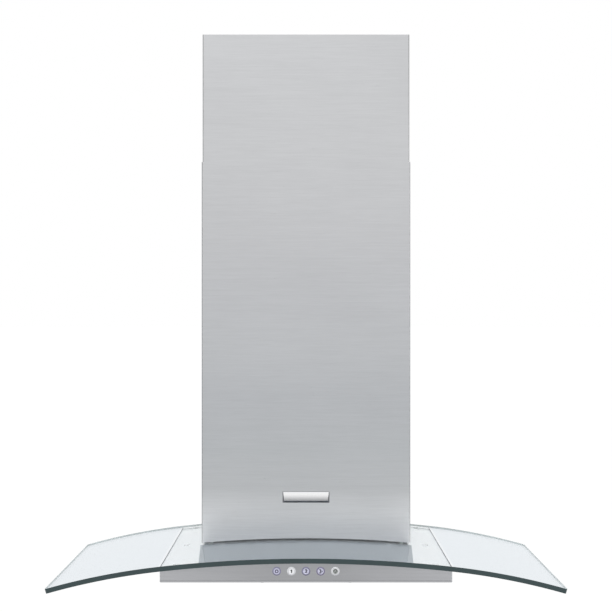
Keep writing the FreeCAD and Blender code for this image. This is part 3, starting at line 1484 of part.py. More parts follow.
def check():
    for item in doc.Objects:
        if any(state in ("Invalid", "Error") for state in item.State):
            raise RuntimeError(f"{item.Name} failed: {item.State}")
    for item in PARTS:
        if item.Shape.isNull() or not item.Shape.isValid() or not item.Shape.Solids:
            raise RuntimeError(f"{item.Label} has no valid solid")


def export():
    os.makedirs("parts", exist_ok=True)
    for item in PARTS:
        item.Shape.exportStep(f"parts/{item.Label}.step")
        print(f"{item.Label}: {len(item.Shape.Solids)} solid(s), "
              f"{item.Shape.Volume / 1000:.1f} cm3")


build()
check()
export()
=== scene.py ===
"""Curved glass range hood: the glass sheet, filter nets, bare badge, button legends and all
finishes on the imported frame, with the photograph's light and camera. In metres."""
import math

import bmesh
import bpy
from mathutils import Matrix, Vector


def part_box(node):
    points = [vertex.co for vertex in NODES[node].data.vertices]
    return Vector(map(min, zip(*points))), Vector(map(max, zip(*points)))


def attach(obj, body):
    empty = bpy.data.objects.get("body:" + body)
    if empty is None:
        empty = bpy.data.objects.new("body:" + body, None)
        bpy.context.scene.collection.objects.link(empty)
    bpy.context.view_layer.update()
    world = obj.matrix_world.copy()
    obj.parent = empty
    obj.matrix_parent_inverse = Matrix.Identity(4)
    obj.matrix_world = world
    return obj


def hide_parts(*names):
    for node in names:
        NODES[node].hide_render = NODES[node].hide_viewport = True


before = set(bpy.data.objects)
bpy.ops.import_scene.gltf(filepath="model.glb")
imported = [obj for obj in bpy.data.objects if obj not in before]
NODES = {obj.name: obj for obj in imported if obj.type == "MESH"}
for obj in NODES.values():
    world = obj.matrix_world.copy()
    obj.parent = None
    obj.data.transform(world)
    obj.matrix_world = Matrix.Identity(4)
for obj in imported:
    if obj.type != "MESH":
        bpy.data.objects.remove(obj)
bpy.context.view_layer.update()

MM = 0.001


# ---- finishes --------------------------------------------------------------------------------

SOCKETS = {
    "metallic": "Metallic", "roughness": "Roughness", "ior": "IOR",
    "clear": "Transmission Weight", "coat": "Coat Weight", "coat_roughness": "Coat Roughness",
    "specular": "Specular IOR Level", "anisotropic": "Anisotropic",
    "turned": "Anisotropic Rotation", "soft": "Subsurface Weight", "edge_tint": "Specular Tint",
}
WHITE = (1, 1, 1, 1)
LOW, HIGH = 0.3, 0.7                 # where a noise counts as low, and as high


def rgb(red, green, blue):
    """A colour from its display values, 0 to 255."""
    def linear(value):
        value /= 255
        return value / 12.92 if value <= 0.04045 else ((value + 0.055) / 1.055) ** 2.4
    return (linear(red), linear(green), linear(blue), 1)


def grey(level):
    """A neutral colour or factor from its linear level."""
    return (level, level, level, 1)


def shaded(colour, factor):
    """The colour times a factor, at most white."""
    return tuple(min(1, channel * factor) for channel in colour[:3]) + (1,)


class Finish:
    """A procedural material: one Principled shader, and short calls for the nodes that feed it."""

    def __init__(self, name, **values):
        self.material = bpy.data.materials.new(name)
        self.material.use_nodes = True
        self.tree = self.material.node_tree
        self.shader = self.tree.nodes["Principled BSDF"]
        for key, value in values.items():
            self.shader.inputs[SOCKETS[key]].default_value = value

    def feed(self, socket, value):
        """Link a socket into this one, or set its value."""
        if isinstance(value, bpy.types.NodeSocket):
            self.tree.links.new(value, socket)
        else:
            socket.default_value = value

    def add(self, kind, **inputs):
        """A new node, with its inputs by name: from_min feeds From Min."""
        node = self.tree.nodes.new("ShaderNode" + kind)
        for key, value in inputs.items():
            self.feed(node.inputs[key.replace("_", " ").title()], value)
        return node

    def set(self, **sockets):
        """Feed the shader's sockets by name: Base_Color feeds Base Color."""
        for key, value in sockets.items():
            self.feed(self.shader.inputs[key.replace("_", " ")], value)

    def place(self, scale=(1, 1, 1)):
        """Place on the object, in metres, times a scale for each axis."""
        spot = self.add("TexCoord").outputs["Object"]
        return self.add("Mapping", vector=spot, scale=scale).outputs["Vector"]

    def axis(self, name):
        """Place on the object along one axis, in metres."""
        spot = self.add("TexCoord").outputs["Object"]
        return self.add("SeparateXYZ", vector=spot).outputs[name]

    def noise(self, scale, detail=2.0, roughness=0.5, stretch=(1, 1, 1)):
        """Smooth noise with this many features to the metre."""
        made = self.add("TexNoise", vector=self.place(stretch), scale=scale, detail=detail,
                        roughness=roughness)
        return made.outputs["Fac"]

    def cells(self, scale, output="Color", stretch=(1, 1, 1)):
        """Voronoi cells, this many to the metre."""
        made = self.add("TexVoronoi", vector=self.place(stretch), scale=scale)
        return made.outputs[output]

    def ramp(self, value, *stops, kind="LINEAR"):
        """Colours at stops from 0 to 1."""
        made = self.add("ValToRGB", fac=value)
        made.color_ramp.interpolation = kind
        points = made.color_ramp.elements
        while len(points) < len(stops):
            points.new(1)
        for point, (position, colour) in zip(points, stops):
            point.position, point.color = position, colour
        return made.outputs["Color"]

    def uneven(self, value, colour, contrast):
        """The colour, darker by the contrast where the value is low and lighter where high."""
        return self.ramp(value, (LOW, shaded(colour, 1 - contrast)),
                         (HIGH, shaded(colour, 1 + contrast)))

    def mix(self, share, first, second, kind="MIX"):
        """Two colours mixed by a share, 0 to 1."""
        made = self.tree.nodes.new("ShaderNodeMix")
        made.data_type, made.blend_type = "RGBA", kind
        self.feed(made.inputs[0], share)
        self.feed(made.inputs[6], first)
        self.feed(made.inputs[7], second)
        return made.outputs[2]

    def multiply(self, first, second):
        """One colour times another."""
        return self.mix(1.0, first, second, "MULTIPLY")

    def span(self, value, low, high, start=0.0, end=1.0):
        """The value, carried from start and end over to low and high."""
        made = self.add("MapRange", value=value, from_min=start, from_max=end, to_min=low,
                        to_max=high)
        return made.outputs["Result"]

    def around(self, value, middle, reach):
        """A value of 0 to 1, carried to a reach either side of a middle."""
        return self.span(value, middle - reach, middle + reach)

    def sum(self, first, second):
        """One value plus another."""
        made = self.tree.nodes.new("ShaderNodeMath")
        self.feed(made.inputs[0], first)
        self.feed(made.inputs[1], second)
        return made.outputs[0]

    def bump(self, height, depth, strength=1.0):
        """Surface relief: a height of one stands this many metres proud."""
        made = self.add("Bump", height=height, strength=strength, distance=depth)
        self.set(Normal=made.outputs["Normal"])


EDGE_TINT = (0.45, 0.45, 0.46, 1)    # what brushed sheet reflects at a grazing angle
HAIR_LINES = (900, 3, 0.6)           # noise scale, detail and roughness
HAIR_BANDS = (300, 2, 0.5)
LINE_SHARE = 0.6                     # of the brushed relief; the bands have the rest
BLOTCHES = (5, 3, 0.55)
HAND_MARKS = (14, 4, 0.6)
# where the painted shade on the upright bends starts and ends, on one side, by which way the
# surface faces
BEND_SHADE_STOPS = (0.005, 0.02, 0.36, 0.44)
DUST = (1, 1.01, 1.03)
GLASS_IOR = 1.03                     # low, so that the glass doesn't mirror what stands on it
LENS_IOR = 1.46
TINT_STEP = 0.001                    # half the width of the change of tint, in shares


def painted_light_ramp(made, axis, stops):
    """Painted light and shade: how light and how cool the sheet is painted at stops along an axis,
    in metres.
    """
    start, end = stops[0][0], stops[-1][0]
    along = made.span(made.axis(axis), 0.0, 1.0, start, end)
    return made.ramp(along, *[((spot - start) / (end - start), shade) for spot, shade in stops])


def painted_bend_shade(made, level):
    """Painted shade: darker on the upright bends, found by how far the surface faces left or
    right.
    """
    normal = made.add("TexCoord").outputs["Normal"]
    side = made.add("SeparateXYZ", vector=normal).outputs["X"]
    left = list(zip(BEND_SHADE_STOPS, (WHITE, grey(level), grey(level), WHITE)))
    right = [(1 - spot, shade) for spot, shade in reversed(left)]
    return made.ramp(made.span(side, 0.0, 1.0, -1.0, 1.0), *left, *right)


def brushed_steel(name, colour, roughness=0.3, grain=(0.03, 0.03, 1), contrast=0.05,
                  painted_light=None, bend_shade=1.0, metallic=1.0):
    """Rolled and brushed sheet: long fine lines, slight blotches and faint hand marks.
    Grain stretches the noise into lines. The optional axis and stops paint light and shade along
    the sheet, and the bend figure is how light the painted shade leaves the upright bends."""
    made = Finish(name, metallic=metallic, anisotropic=0.4, turned=0.25, edge_tint=EDGE_TINT)
    lines = made.noise(*HAIR_LINES, grain)
    bands = made.noise(*HAIR_BANDS, grain)
    brushed = made.sum(made.span(lines, 0, LINE_SHARE), made.span(bands, 0, 1 - LINE_SHARE))
    blotches = made.ramp(made.noise(*BLOTCHES), (LOW, grey(0.965)), (0.75, WHITE))
    tint = made.multiply(made.uneven(brushed, colour, contrast), blotches)
    # painted light and shade along one axis of the sheet
    if painted_light:
        tint = made.multiply(tint, painted_light_ramp(made, *painted_light))
    # painted shade on the upright bends
    if bend_shade < 1:
        tint = made.multiply(tint, painted_bend_shade(made, bend_shade))
    marks = made.span(made.noise(*HAND_MARKS), -0.01, 0.02, 0.35, HIGH)
    made.set(Base_Color=tint, Roughness=made.sum(made.around(lines, roughness, 0.04), marks))
    made.bump(brushed, 0.01 * MM, 0.3)
    return made.material


def galvanised(name, colour, contrast=1.0):
    """Zinc coated sheet: crystal spangle, cloudy patches, a little dust."""
    made = Finish(name, metallic=0.9)
    crystals = made.add("SeparateColor", color=made.cells(120)).outputs["Red"]
    clouds = made.noise(9, 4, 0.6)
    spangle = made.ramp(crystals, (0.0, shaded(colour, 1 - 0.18 * contrast)),
                        (1.0, shaded(colour, 1 + 0.15 * contrast)))
    cloudy = made.ramp(clouds, (LOW, shaded(DUST, 1 - 0.14 * contrast)), (HIGH, WHITE))
    gloss = made.sum(made.span(crystals, 0.3, 0.48), made.span(clouds, -0.04, 0.08))
    made.set(Base_Color=made.multiply(spangle, cloudy), Roughness=gloss)
    made.bump(made.noise(900, 2), 0.03 * MM, 0.5)
    return made.material


def turned_metal(name, colour, roughness, grain=1500, contrast=0.12, wear=0.06):
    """Plated, ground or spun metal: fine tool marks and uneven tone."""
    made = Finish(name, metallic=1.0)
    marks = made.noise(grain, 3, 0.6, (0.15, 1, 1))
    tone = made.noise(60, 3, 0.55)
    gloss = made.sum(made.around(marks, roughness, wear), made.span(tone, -0.02, 0.03))
    made.set(Base_Color=made.uneven(tone, colour, contrast), Roughness=gloss)
    made.bump(marks, 0.02 * MM, 0.5)
    return made.material


def plastic(name, colour, roughness=0.42, texture=1100, depth=0.04 * MM, contrast=0.06, **more):
    """Moulded plastic: spark-eroded texture, faint flow marks."""
    made = Finish(name, **more)
    flow = made.noise(35, 3, 0.5)
    pores = made.noise(texture, 3, 0.6)
    gloss = made.sum(made.span(pores, roughness - 0.05, roughness + 0.07),
                     made.span(flow, -0.02, 0.02))
    made.set(Base_Color=made.uneven(flow, colour, contrast), Roughness=gloss)
    made.bump(pores, depth, 0.7)
    return made.material


def rubber(name, colour, roughness=0.62):
    """Moulded rubber: a coarser and blotchier skin than plastic."""
    return plastic(name, colour, roughness, texture=700, depth=0.06 * MM, contrast=0.15)


def clear_sheet(name, tint, painted_light_over_body, half_body, half_width):
    """Float glass, tempered: clear, with a breath of green and hardly any waviness. Over the body
    its tint is painted clearer than in the wings, painted light for the body's top, which is
    brightly lit from above."""
    made = Finish(name, clear=1.0, ior=GLASS_IOR, roughness=0.0)
    across = made.span(made.axis("X"), 0.0, 1.0, -half_width, half_width)
    near = 0.5 * (1 - half_body / half_width)
    # painted light: a clearer tint over the body than in the wings
    tints = made.ramp(across, (near - TINT_STEP, tint), (near + TINT_STEP, painted_light_over_body),
                      (1 - near - TINT_STEP, painted_light_over_body), (1 - near + TINT_STEP, tint))
    wave = made.ramp(made.noise(3, 1), (0.2, grey(0.994)), (0.8, WHITE))
    made.set(Base_Color=made.multiply(tints, wave))
    return made.material


def glass_edge(name, colour):
    """Polished rim of the glass, seen end on, with fine grinding lines."""
    made = Finish(name, coat=0.1, coat_roughness=0.08, specular=0.3)
    lines = made.noise(2600, 2, 0.5, (0.02, 0.02, 1))
    made.set(Base_Color=made.uneven(made.noise(22, 3, 0.5), colour, 0.07),
             Roughness=made.around(lines, 0.16, 0.06))
    return made.material


def frosted(name, tint):
    """Etched glass that spreads the lamps' light."""
    made = Finish(name, clear=0.75, ior=LENS_IOR)
    grit = made.noise(1600, 2)
    made.set(Base_Color=made.ramp(made.noise(40, 2), (LOW, shaded(tint, 0.95)), (HIGH, tint)),
             Roughness=made.span(grit, 0.38, 0.55))
    made.bump(grit, 0.03 * MM, 0.6)
    return made.material


def circuit_board(name):
    """Green solder mask with copper tracks under it and tinned pads."""
    made = Finish(name, coat=0.4, coat_roughness=0.2)
    tracks = made.cells(260, "Distance", (1, 1, 1.6))
    pads = made.cells(420, "Distance")
    mask = made.ramp(tracks, (0.30, rgb(24, 84, 52)), (0.36, rgb(44, 120, 74)),
                     (0.44, rgb(26, 88, 55)))
    tinned = made.span(pads, 1.0, 0.0, 0.10, 0.13)
    made.set(Base_Color=made.mix(tinned, mask, rgb(190, 188, 178)),
             Metallic=made.span(pads, 0.9, 0.0, 0.10, 0.13),
             Roughness=made.span(made.noise(300), 0.28, 0.42))
    made.bump(tracks, 0.05 * MM, 0.4)
    return made.material


def diode_board(name):
    """White board with a raster of yellow phosphor dots."""
    made = Finish(name)
    dots = made.cells(240, "Distance")
    made.set(Base_Color=made.ramp(dots, (0.22, rgb(246, 214, 92)), (0.28, rgb(238, 238, 232))),
             Roughness=made.span(made.noise(500), 0.35, 0.5))
    made.bump(dots, 0.3 * MM, 0.5)
    return made.material


def enamel(name, colour):
    """Stoved paint with a little orange peel."""
    made = Finish(name, coat=0.6, coat_roughness=0.12)
    peel = made.noise(420, 2)
    made.set(Base_Color=made.ramp(made.noise(30, 3), (LOW, shaded(colour, 0.85)),
                                  (HIGH, shaded(colour, 1.2))),
             Roughness=made.span(peel, 0.28, 0.42))
    made.bump(peel, 0.08 * MM, 0.6)
    return made.material


def bezel_ring(name, pitch, tints, level, reach):
    """Satin rings whose tone differs from one button to the next, left to right, and whose lower
    half is darker by painted shade."""
    made = Finish(name, metallic=0.25, coat=0.2)
    half = pitch * len(tints) / 2
    across = made.span(made.axis("X"), 0.0, 1.0, -half, half)
    steps = [(number / len(tints), tint) for number, tint in enumerate(tints)]
    # Painted shade: each ring darker towards its bottom and lighter towards its top.
    rise = made.span(made.axis("Z"), 0.0, 1.0, level - reach, level + reach)
    tone = made.ramp(rise, (0.1, (0.72, 0.72, 0.74, 1)), (0.4, (0.88, 0.88, 0.89, 1)),
                     (0.9, WHITE))
    worn = made.ramp(made.noise(300, 2), (LOW, grey(0.95)), (HIGH, WHITE))
    made.set(Base_Color=made.multiply(made.ramp(across, *steps, kind="CONSTANT"),
                                      made.multiply(tone, worn)),
             Roughness=made.span(made.noise(900, 2), 0.2, 0.32))
    return made.material


STEEL = rgb(205, 206, 208)
# Painted light and shade on the chimney, by height: a bright foot, darkest just above it, lighter
# again towards the top.
CHIMNEY_PAINTED_LIGHT = [    # by height
    (0.04, grey(1.29)), (0.085, (1.12, 1.13, 1.13, 1)), (0.14, (0.81, 0.825, 0.83, 1)),
    (0.21, (0.765, 0.785, 0.795, 1)), (0.3, (0.77, 0.785, 0.8, 1)),
    (0.4, (0.83, 0.84, 0.85, 1)), (0.5, (0.86, 0.865, 0.875, 1)), (0.62, (0.9, 0.9, 0.905, 1)),
    (0.77, grey(0.94)), (1.0, grey(0.93))]
# how light the painted shade leaves the chimney's upright bends
CHIMNEY_BEND_SHADE = 0.55
BODY_STEEL = rgb(178, 179, 182)
# Painted shade: the body's steel darker towards its middle across its width, lighter towards its
# ends.
BODY_PAINTED_SHADE = [(-0.25, WHITE), (-0.06, grey(0.82)), (0.06, grey(0.82)), (0.25, WHITE)]
FLAT_GRAIN = (0.03, 1, 1)            # lines along X on a sheet that lies flat
REST_STEEL = rgb(177, 185, 192)
ZINC = rgb(190, 193, 196)
# Painted light: the zinc top plate under the glass made near white, as if brightly lit from above.
PAINTED_LIGHT_ZINC = rgb(253, 254, 254)
CANOPY_TINT = rgb(230, 235, 239)
# Painted light: the glass tint over the body, clearer so that the body top under it looks brightly
# lit.
CANOPY_PAINTED_LIGHT_OVER_BODY = rgb(251, 253, 254)
FRONT_EDGE_TINT = rgb(52, 68, 70)
SIDE_EDGE_TINT = rgb(212, 221, 220)
LAVENDER = rgb(206, 206, 228)
PORCELAIN = rgb(242, 243, 246)
BUTTON_PITCH = 25.4 * MM
BUTTON_LEVEL = 19.6 * MM
BEZEL_SHADE_REACH = 8 * MM
BEZEL_TINTS = [rgb(150, 148, 176), PORCELAIN, rgb(138, 136, 163), rgb(144, 138, 166), PORCELAIN]
INK_TEXTURE = 2500

chimney_steel = brushed_steel("chimney_steel", STEEL, painted_light=("Z", CHIMNEY_PAINTED_LIGHT),
                              bend_shade=CHIMNEY_BEND_SHADE)
body_steel = brushed_steel("body_steel", BODY_STEEL, contrast=0.06, painted_light=("X", BODY_PAINTED_SHADE))
panel_steel = brushed_steel("panel_steel", BODY_STEEL, grain=FLAT_GRAIN)
rest_steel = brushed_steel("rest_steel", REST_STEEL, 0.45, FLAT_GRAIN, metallic=0.3)
zinc_sheet = galvanised("zinc_sheet", ZINC)
# painted light on the zinc top plate under the glass
painted_light_sheet = galvanised("painted_light_sheet", PAINTED_LIGHT_ZINC, contrast=0.15)
screw_zinc = turned_metal("screw_zinc", rgb(188, 189, 190), 0.28)
chrome = turned_metal("chrome", rgb(222, 223, 226), 0.1, contrast=0.03, wear=0.03)
ground_shaft = turned_metal("ground_shaft", rgb(168, 168, 170), 0.22, grain=2600)
anodised = turned_metal("anodised", rgb(196, 198, 201), 0.34, grain=900, contrast=0.05)
mesh_wire = turned_metal("mesh_wire", rgb(186, 188, 191), 0.36, grain=1800, contrast=0.1)
spun_alloy = turned_metal("spun_alloy", rgb(190, 191, 194), 0.3, grain=1200)
# Painted reflection: the badge's sloping flanks made dark, as they look when they mirror darker
# surroundings.
badge_flank_painted_reflection = turned_metal("badge_flank_painted_reflection", rgb(112, 113, 116), 0.3)
black_enamel = enamel("black_enamel", rgb(38, 38, 41))
# Painted light: the dark rubber glass seal made pale grey, to lift the shade it lies in under the
# chimney's foot.
seal_painted_light = rubber("seal_painted_light", rgb(172, 180, 186), 0.5)
bush_rubber = rubber("bush_rubber", rgb(46, 45, 44))
cable_sheath = rubber("cable_sheath", rgb(196, 196, 190), 0.5)
clear_pad = plastic("clear_pad", rgb(250, 252, 252), 0.2, clear=0.95, ior=1.1)
nylon = plastic("nylon", rgb(232, 234, 232), 0.4, soft=0.15)
black_plastic = plastic("black_plastic", rgb(46, 46, 49))
grey_plastic = plastic("grey_plastic", rgb(118, 121, 124))
white_plastic = plastic("white_plastic", rgb(232, 232, 228), 0.36)
lens_glass = frosted("lens_glass", rgb(245, 247, 248))
green_board = circuit_board("circuit_board")
lamp_board = diode_board("diode_board")
ring_satin = bezel_ring("bezel_ring", BUTTON_PITCH, BEZEL_TINTS, BUTTON_LEVEL, BEZEL_SHADE_REACH)
button_lavender = plastic("button_lavender", LAVENDER, 0.3, coat=0.3)
button_white = plastic("button_white", PORCELAIN, 0.28, coat=0.3)
legend_ink = plastic("legend_ink", rgb(30, 27, 50), 0.5, INK_TEXTURE)
legend_violet = plastic("legend_violet", rgb(72, 68, 100), 0.5, INK_TEXTURE)
legend_black = plastic("legend_black", rgb(46, 49, 52), 0.5, INK_TEXTURE)
legend_grey = plastic("legend_grey", rgb(160, 164, 162), 0.5, INK_TEXTURE)

FINISHES = {
    chimney_steel: ["lower_chimney", "upper_chimney"],
    body_steel: ["body_shell"],
    panel_steel: ["bottom_panel"],
    painted_light_sheet: ["body_top_plate"],
    rest_steel: ["glass_rest_plate"],
    zinc_sheet: ["body_back_plate", "motor_box", "blower_housing_left", "blower_housing_right",
                 "impeller", "motor_bracket", "chimney_clips", "ceiling_bracket"],
    screw_zinc: ["glass_bolts", "glass_nuts", "body_screws", "box_screws", "collar_screws",
                 "clip_screws", "bracket_screws"],
    chrome: ["lamp_bezels", "filter_latch_left", "filter_latch_right"],
    ground_shaft: ["motor_shaft", "damper_pin"],
    anodised: ["filter_frame_left", "filter_frame_right"],
    spun_alloy: ["lamp_housings"],
    black_enamel: ["fan_motor"],
    seal_painted_light: ["glass_seal"],
    bush_rubber: ["motor_bushes"],
    cable_sheath: ["wiring_harness"],
    clear_pad: ["glass_pads"],
    nylon: ["glass_washers"],
    black_plastic: ["inlet_rings", "cable_gland", "control_housing", "tact_switches"],
    grey_plastic: ["outlet_collar", "damper_flap_front", "damper_flap_rear", "junction_box",
                   "junction_cover"],
    white_plastic: ["terminal_block", "capacitor", "lamp_driver"],
    lens_glass: ["lamp_lenses"],
    green_board: ["control_board"],
    lamp_board: ["lamp_leds"],
    ring_satin: ["button_bezels"],
    button_lavender: ["button_1", "button_3", "button_4"],
    button_white: ["button_2", "button_5"],
}
for finish, names in FINISHES.items():
    for name in names:
        for place in NODES[name].material_slots:
            place.material = finish


# ---- pieces ----------------------------------------------------------------------------------

CIRCLE_STEPS = 24


def piece(name, points, faces, materials, body, choose=None):
    """A mesh object that rides on a body. Choose gives each face its material's number."""
    mesh = bpy.data.meshes.new(name)
    mesh.from_pydata(points, [], faces)
    mesh.validate()
    made = bpy.data.objects.new(name, mesh)
    bpy.context.scene.collection.objects.link(made)
    for one in materials:
        mesh.materials.append(one)
    if choose:
        for face in mesh.polygons:
            face.material_index = choose(face)
    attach(made, body)
    return made


def bevelled(made, width, segments, angle, sharp):
    """Bevel the edges over an angle, apply that, and shade smooth between faces that meet at
    less than the sharp angle. Angles are in degrees."""
    bevel = made.modifiers.new("bevel", "BEVEL")
    bevel.width, bevel.segments = width, segments
    bevel.limit_method, bevel.angle_limit = "ANGLE", math.radians(angle)
    shown = made.evaluated_get(bpy.context.evaluated_depsgraph_get())
    mesh = bpy.data.meshes.new_from_object(shown)
    made.modifiers.clear()
    made.data = mesh
    mesh.shade_smooth()
    mesh.set_sharp_from_angle(angle=math.radians(sharp))


def arc(x, y, radius, start, end, steps):
    """Points on an arc, angles in degrees."""
    turns = [math.radians(start + (end - start) * step / steps) for step in range(steps + 1)]
    return [(x + radius * math.cos(turn), y + radius * math.sin(turn)) for turn in turns]


def circle(x, y, radius):
    """Points round a whole circle, with the first one not repeated at the end."""
    return arc(x, y, radius, 0, 360 - 360 / CIRCLE_STEPS, CIRCLE_STEPS - 1)


# ---- glass canopy ----------------------------------------------------------------------------

GLASS_THICKNESS = 8.5 * MM
MIDDLE_RADIUS = 2300 * MM
WING_RADIUS = 1200 * MM
GLASS_CORNER = 5 * MM
GLASS_BEVEL = 0.6 * MM
GLASS_BEVEL_STEPS = 3
GLASS_BEVEL_ANGLE = 50
GLASS_SHARP_ANGLE = 8
NOTCH_HALF = 165 * MM
NOTCH_DEPTH = 238 * MM
NOTCH_CORNER = 8 * MM
CORNER_STEPS = 16
GLASS_HOLE = 4.5 * MM
GLASS_BOLTS = [(side * 179 * MM, -depth * MM) for side in (-1, 1) for depth in (60, 252)]
STRIPS = 150
CUT_TOLERANCE = 1e-6
FLAT_NORMAL = 0.9                    # over this, a face belongs to the sheet's top or underside

glass_low, glass_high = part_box("glass_canopy")
BEND_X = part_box("body_shell")[1].x   # where the middle arc meets a wing's
ARCH_Z = glass_high.z - MIDDLE_RADIUS
WING_SHARE = (MIDDLE_RADIUS - WING_RADIUS) / MIDDLE_RADIUS
WING_X = BEND_X * WING_SHARE
WING_Z = ARCH_Z + math.sqrt(MIDDLE_RADIUS**2 - BEND_X**2) * WING_SHARE


def glass_point(x, y, under=0.0):
    """The point over (x, y) on the glass's top, sunk this far along the normal there."""
    if abs(x) <= BEND_X:
        centre, level, radius = 0.0, ARCH_Z, MIDDLE_RADIUS
    else:
        centre, level, radius = math.copysign(WING_X, x), WING_Z, WING_RADIUS
    rise = math.sqrt(radius**2 - (x - centre)**2)
    share = (radius - under) / radius
    return (centre + (x - centre) * share, y, level + rise * share)


def glass_outline():
    """The sheet's plan: rounded corners, and the notch for the air box at the wall."""
    half, rear, front, corner = glass_high.x, glass_high.y, glass_low.y, GLASS_CORNER
    inner, notch = NOTCH_HALF - NOTCH_CORNER, rear - NOTCH_DEPTH + NOTCH_CORNER
    return (arc(-half + corner, rear - corner, corner, 90, 180, CORNER_STEPS)
            + arc(-half + corner, front + corner, corner, 180, 270, CORNER_STEPS)
            + arc(half - corner, front + corner, corner, 270, 360, CORNER_STEPS)
            + arc(half - corner, rear - corner, corner, 0, 90, CORNER_STEPS)
            + [(NOTCH_HALF, rear)]
            + arc(inner, notch, NOTCH_CORNER, 0, -90, CORNER_STEPS)
            + arc(-inner, notch, NOTCH_CORNER, -90, -180, CORNER_STEPS)
            + [(-NOTCH_HALF, rear)])


def glass_plan():
    """The plan with its bolt holes as a flat mesh, cut into narrow strips across the width."""
    plan = bmesh.new()
    edges = []
    for loop in [glass_outline()] + [circle(x, y, GLASS_HOLE) for x, y in GLASS_BOLTS]:
        ring = [plan.verts.new((x, y, 0)) for x, y in loop]
        edges += [plan.edges.new((ring[i - 1], ring[i])) for i in range(len(ring))]
    bmesh.ops.triangle_fill(plan, use_beauty=True, edges=edges, normal=(0, 0, 1))
    for step in range(1, STRIPS):
        x = glass_low.x + (glass_high.x - glass_low.x) * step / STRIPS
        bmesh.ops.bisect_plane(plan, geom=plan.verts[:] + plan.edges[:] + plan.faces[:],
                               plane_co=(x, 0, 0), plane_no=(1, 0, 0), dist=CUT_TOLERANCE)
    plan.verts.index_update()
    return plan


def glass_canopy():
    """The bent sheet: its plan is laid on the arch and thickened."""
    plan = glass_plan()
    count = len(plan.verts)
    points = [glass_point(v.co.x, v.co.y) for v in plan.verts]
    points += [glass_point(v.co.x, v.co.y, GLASS_THICKNESS) for v in plan.verts]
    faces = []
    for face in plan.faces:
        if face.normal.z < 0:
            face.normal_flip()
        ring = [v.index for v in face.verts]
        faces += [ring, [index + count for index in reversed(ring)]]
    for edge in plan.edges:
        if edge.is_boundary:
            loop = edge.link_loops[0]
            a, b = loop.vert.index, loop.link_loop_next.vert.index
            faces.append([b, a, a + count, b + count])
    plan.free()

    sheet = clear_sheet("canopy_glass", CANOPY_TINT, CANOPY_PAINTED_LIGHT_OVER_BODY, BEND_X,
                        glass_high.x)
    front_edge = glass_edge("glass_front_edge", FRONT_EDGE_TINT)
    side_edge = glass_edge("glass_side_edge", SIDE_EDGE_TINT)
    made = piece("canopy_sheet", points, faces, [sheet, front_edge, side_edge], "root")
    bevelled(made, GLASS_BEVEL, GLASS_BEVEL_STEPS, GLASS_BEVEL_ANGLE, GLASS_SHARP_ANGLE)
    for face in made.data.polygons:
        flat = abs(face.normal.z) > FLAT_NORMAL
        outer = face.center.y < glass_low.y + GLASS_CORNER
        face.material_index = 0 if flat else 1 if outer else 2
    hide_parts("glass_canopy")


glass_canopy()


# ---- grease filter nets ----------------------------------------------------------------------

MESH_CELL = 9 * MM
MESH_ROW = 5 * MM
WIRE_WIDTH = 0.9 * MM
WIRE_DEPTH = 0.45 * MM
MESH_LAYERS = (0.12, 0.42, 0.72, 0.94)    # levels in the filter, in shares of its thickness


def zigzag(points, faces, along, across, low, high, start, level):
    """One strand of expanded metal, a flat zigzag from low to high, with a square section."""
    steps = int((high - low) / (MESH_CELL / 2))
    length = (high - low) / steps
    half = WIRE_WIDTH / 2
    for step in range(steps + 1):
        middle = start + (MESH_ROW / 4 if step % 2 else -MESH_ROW / 4)
        for shift, rise in ((-half, -1), (half, -1), (half, 1), (-half, 1)):
            point = [0.0, 0.0, level + rise * WIRE_DEPTH / 2]
            point[along] = low + step * length
            point[across] = middle + shift
            points.append(tuple(point))
        if step:
            first = len(points) - 8
            for side in range(4):
                after = (side + 1) % 4
                faces.append([first + side, first + after, first + 4 + after, first + 4 + side])


def filter_net(side):
    """Layers of expanded aluminium, turned a quarter from one to the next."""
    low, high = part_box(f"filter_mesh_{side}")
    points, faces = [], []
    for number, share in enumerate(MESH_LAYERS):
        along, across = (0, 1) if number % 2 == 0 else (1, 0)
        level = low.z + (high.z - low.z) * share
        rows = int((high[across] - low[across]) / (MESH_ROW / 2)) - 1
        for row in range(1, rows):
            start = low[across] + row * MESH_ROW / 2
            zigzag(points, faces, along, across, low[along], high[along], start, level)
    made = piece(f"filter_net_{side}", points, faces, [mesh_wire], f"filter_{side}")
    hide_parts(f"filter_mesh_{side}")


for side in ("left", "right"):
    filter_net(side)


# ---- badge plate, left bare ------------------------------------------------------------------

BADGE_BASE = 0.3 * MM
BADGE_TOP_LIP = 0.4 * MM
BADGE_FOOT = 3.2 * MM
BADGE_SIDE_TOP = 1.2 * MM
BADGE_SIDE_FOOT = 3.2 * MM
BADGE_BEVEL = 0.25 * MM
BADGE_BEVEL_STEPS = 2
BADGE_BEVEL_ANGLE = 30
BADGE_SHARP_ANGLE = 30
FORWARD_NORMAL = -0.97
SAME_PLACE = 0.01 * MM


def badge_painted_reflection(low, high):
    """Polished plate with a painted reflection: its colour gets lighter from its foot to its top.
    """
    made = Finish("badge_painted_reflection", metallic=0.9, coat=0.3)
    # painted reflection, lighter towards the top
    height = made.span(made.axis("Z"), 0.0, 1.0, low, high)
    tone = made.ramp(height, (0.15, rgb(150, 151, 153)), (0.42, rgb(200, 201, 202)),
                     (0.7, rgb(240, 240, 240)), (1.0, rgb(248, 249, 250)))
    made.set(Base_Color=tone, Roughness=made.span(made.noise(700, 3), 0.16, 0.26))
    return made.material


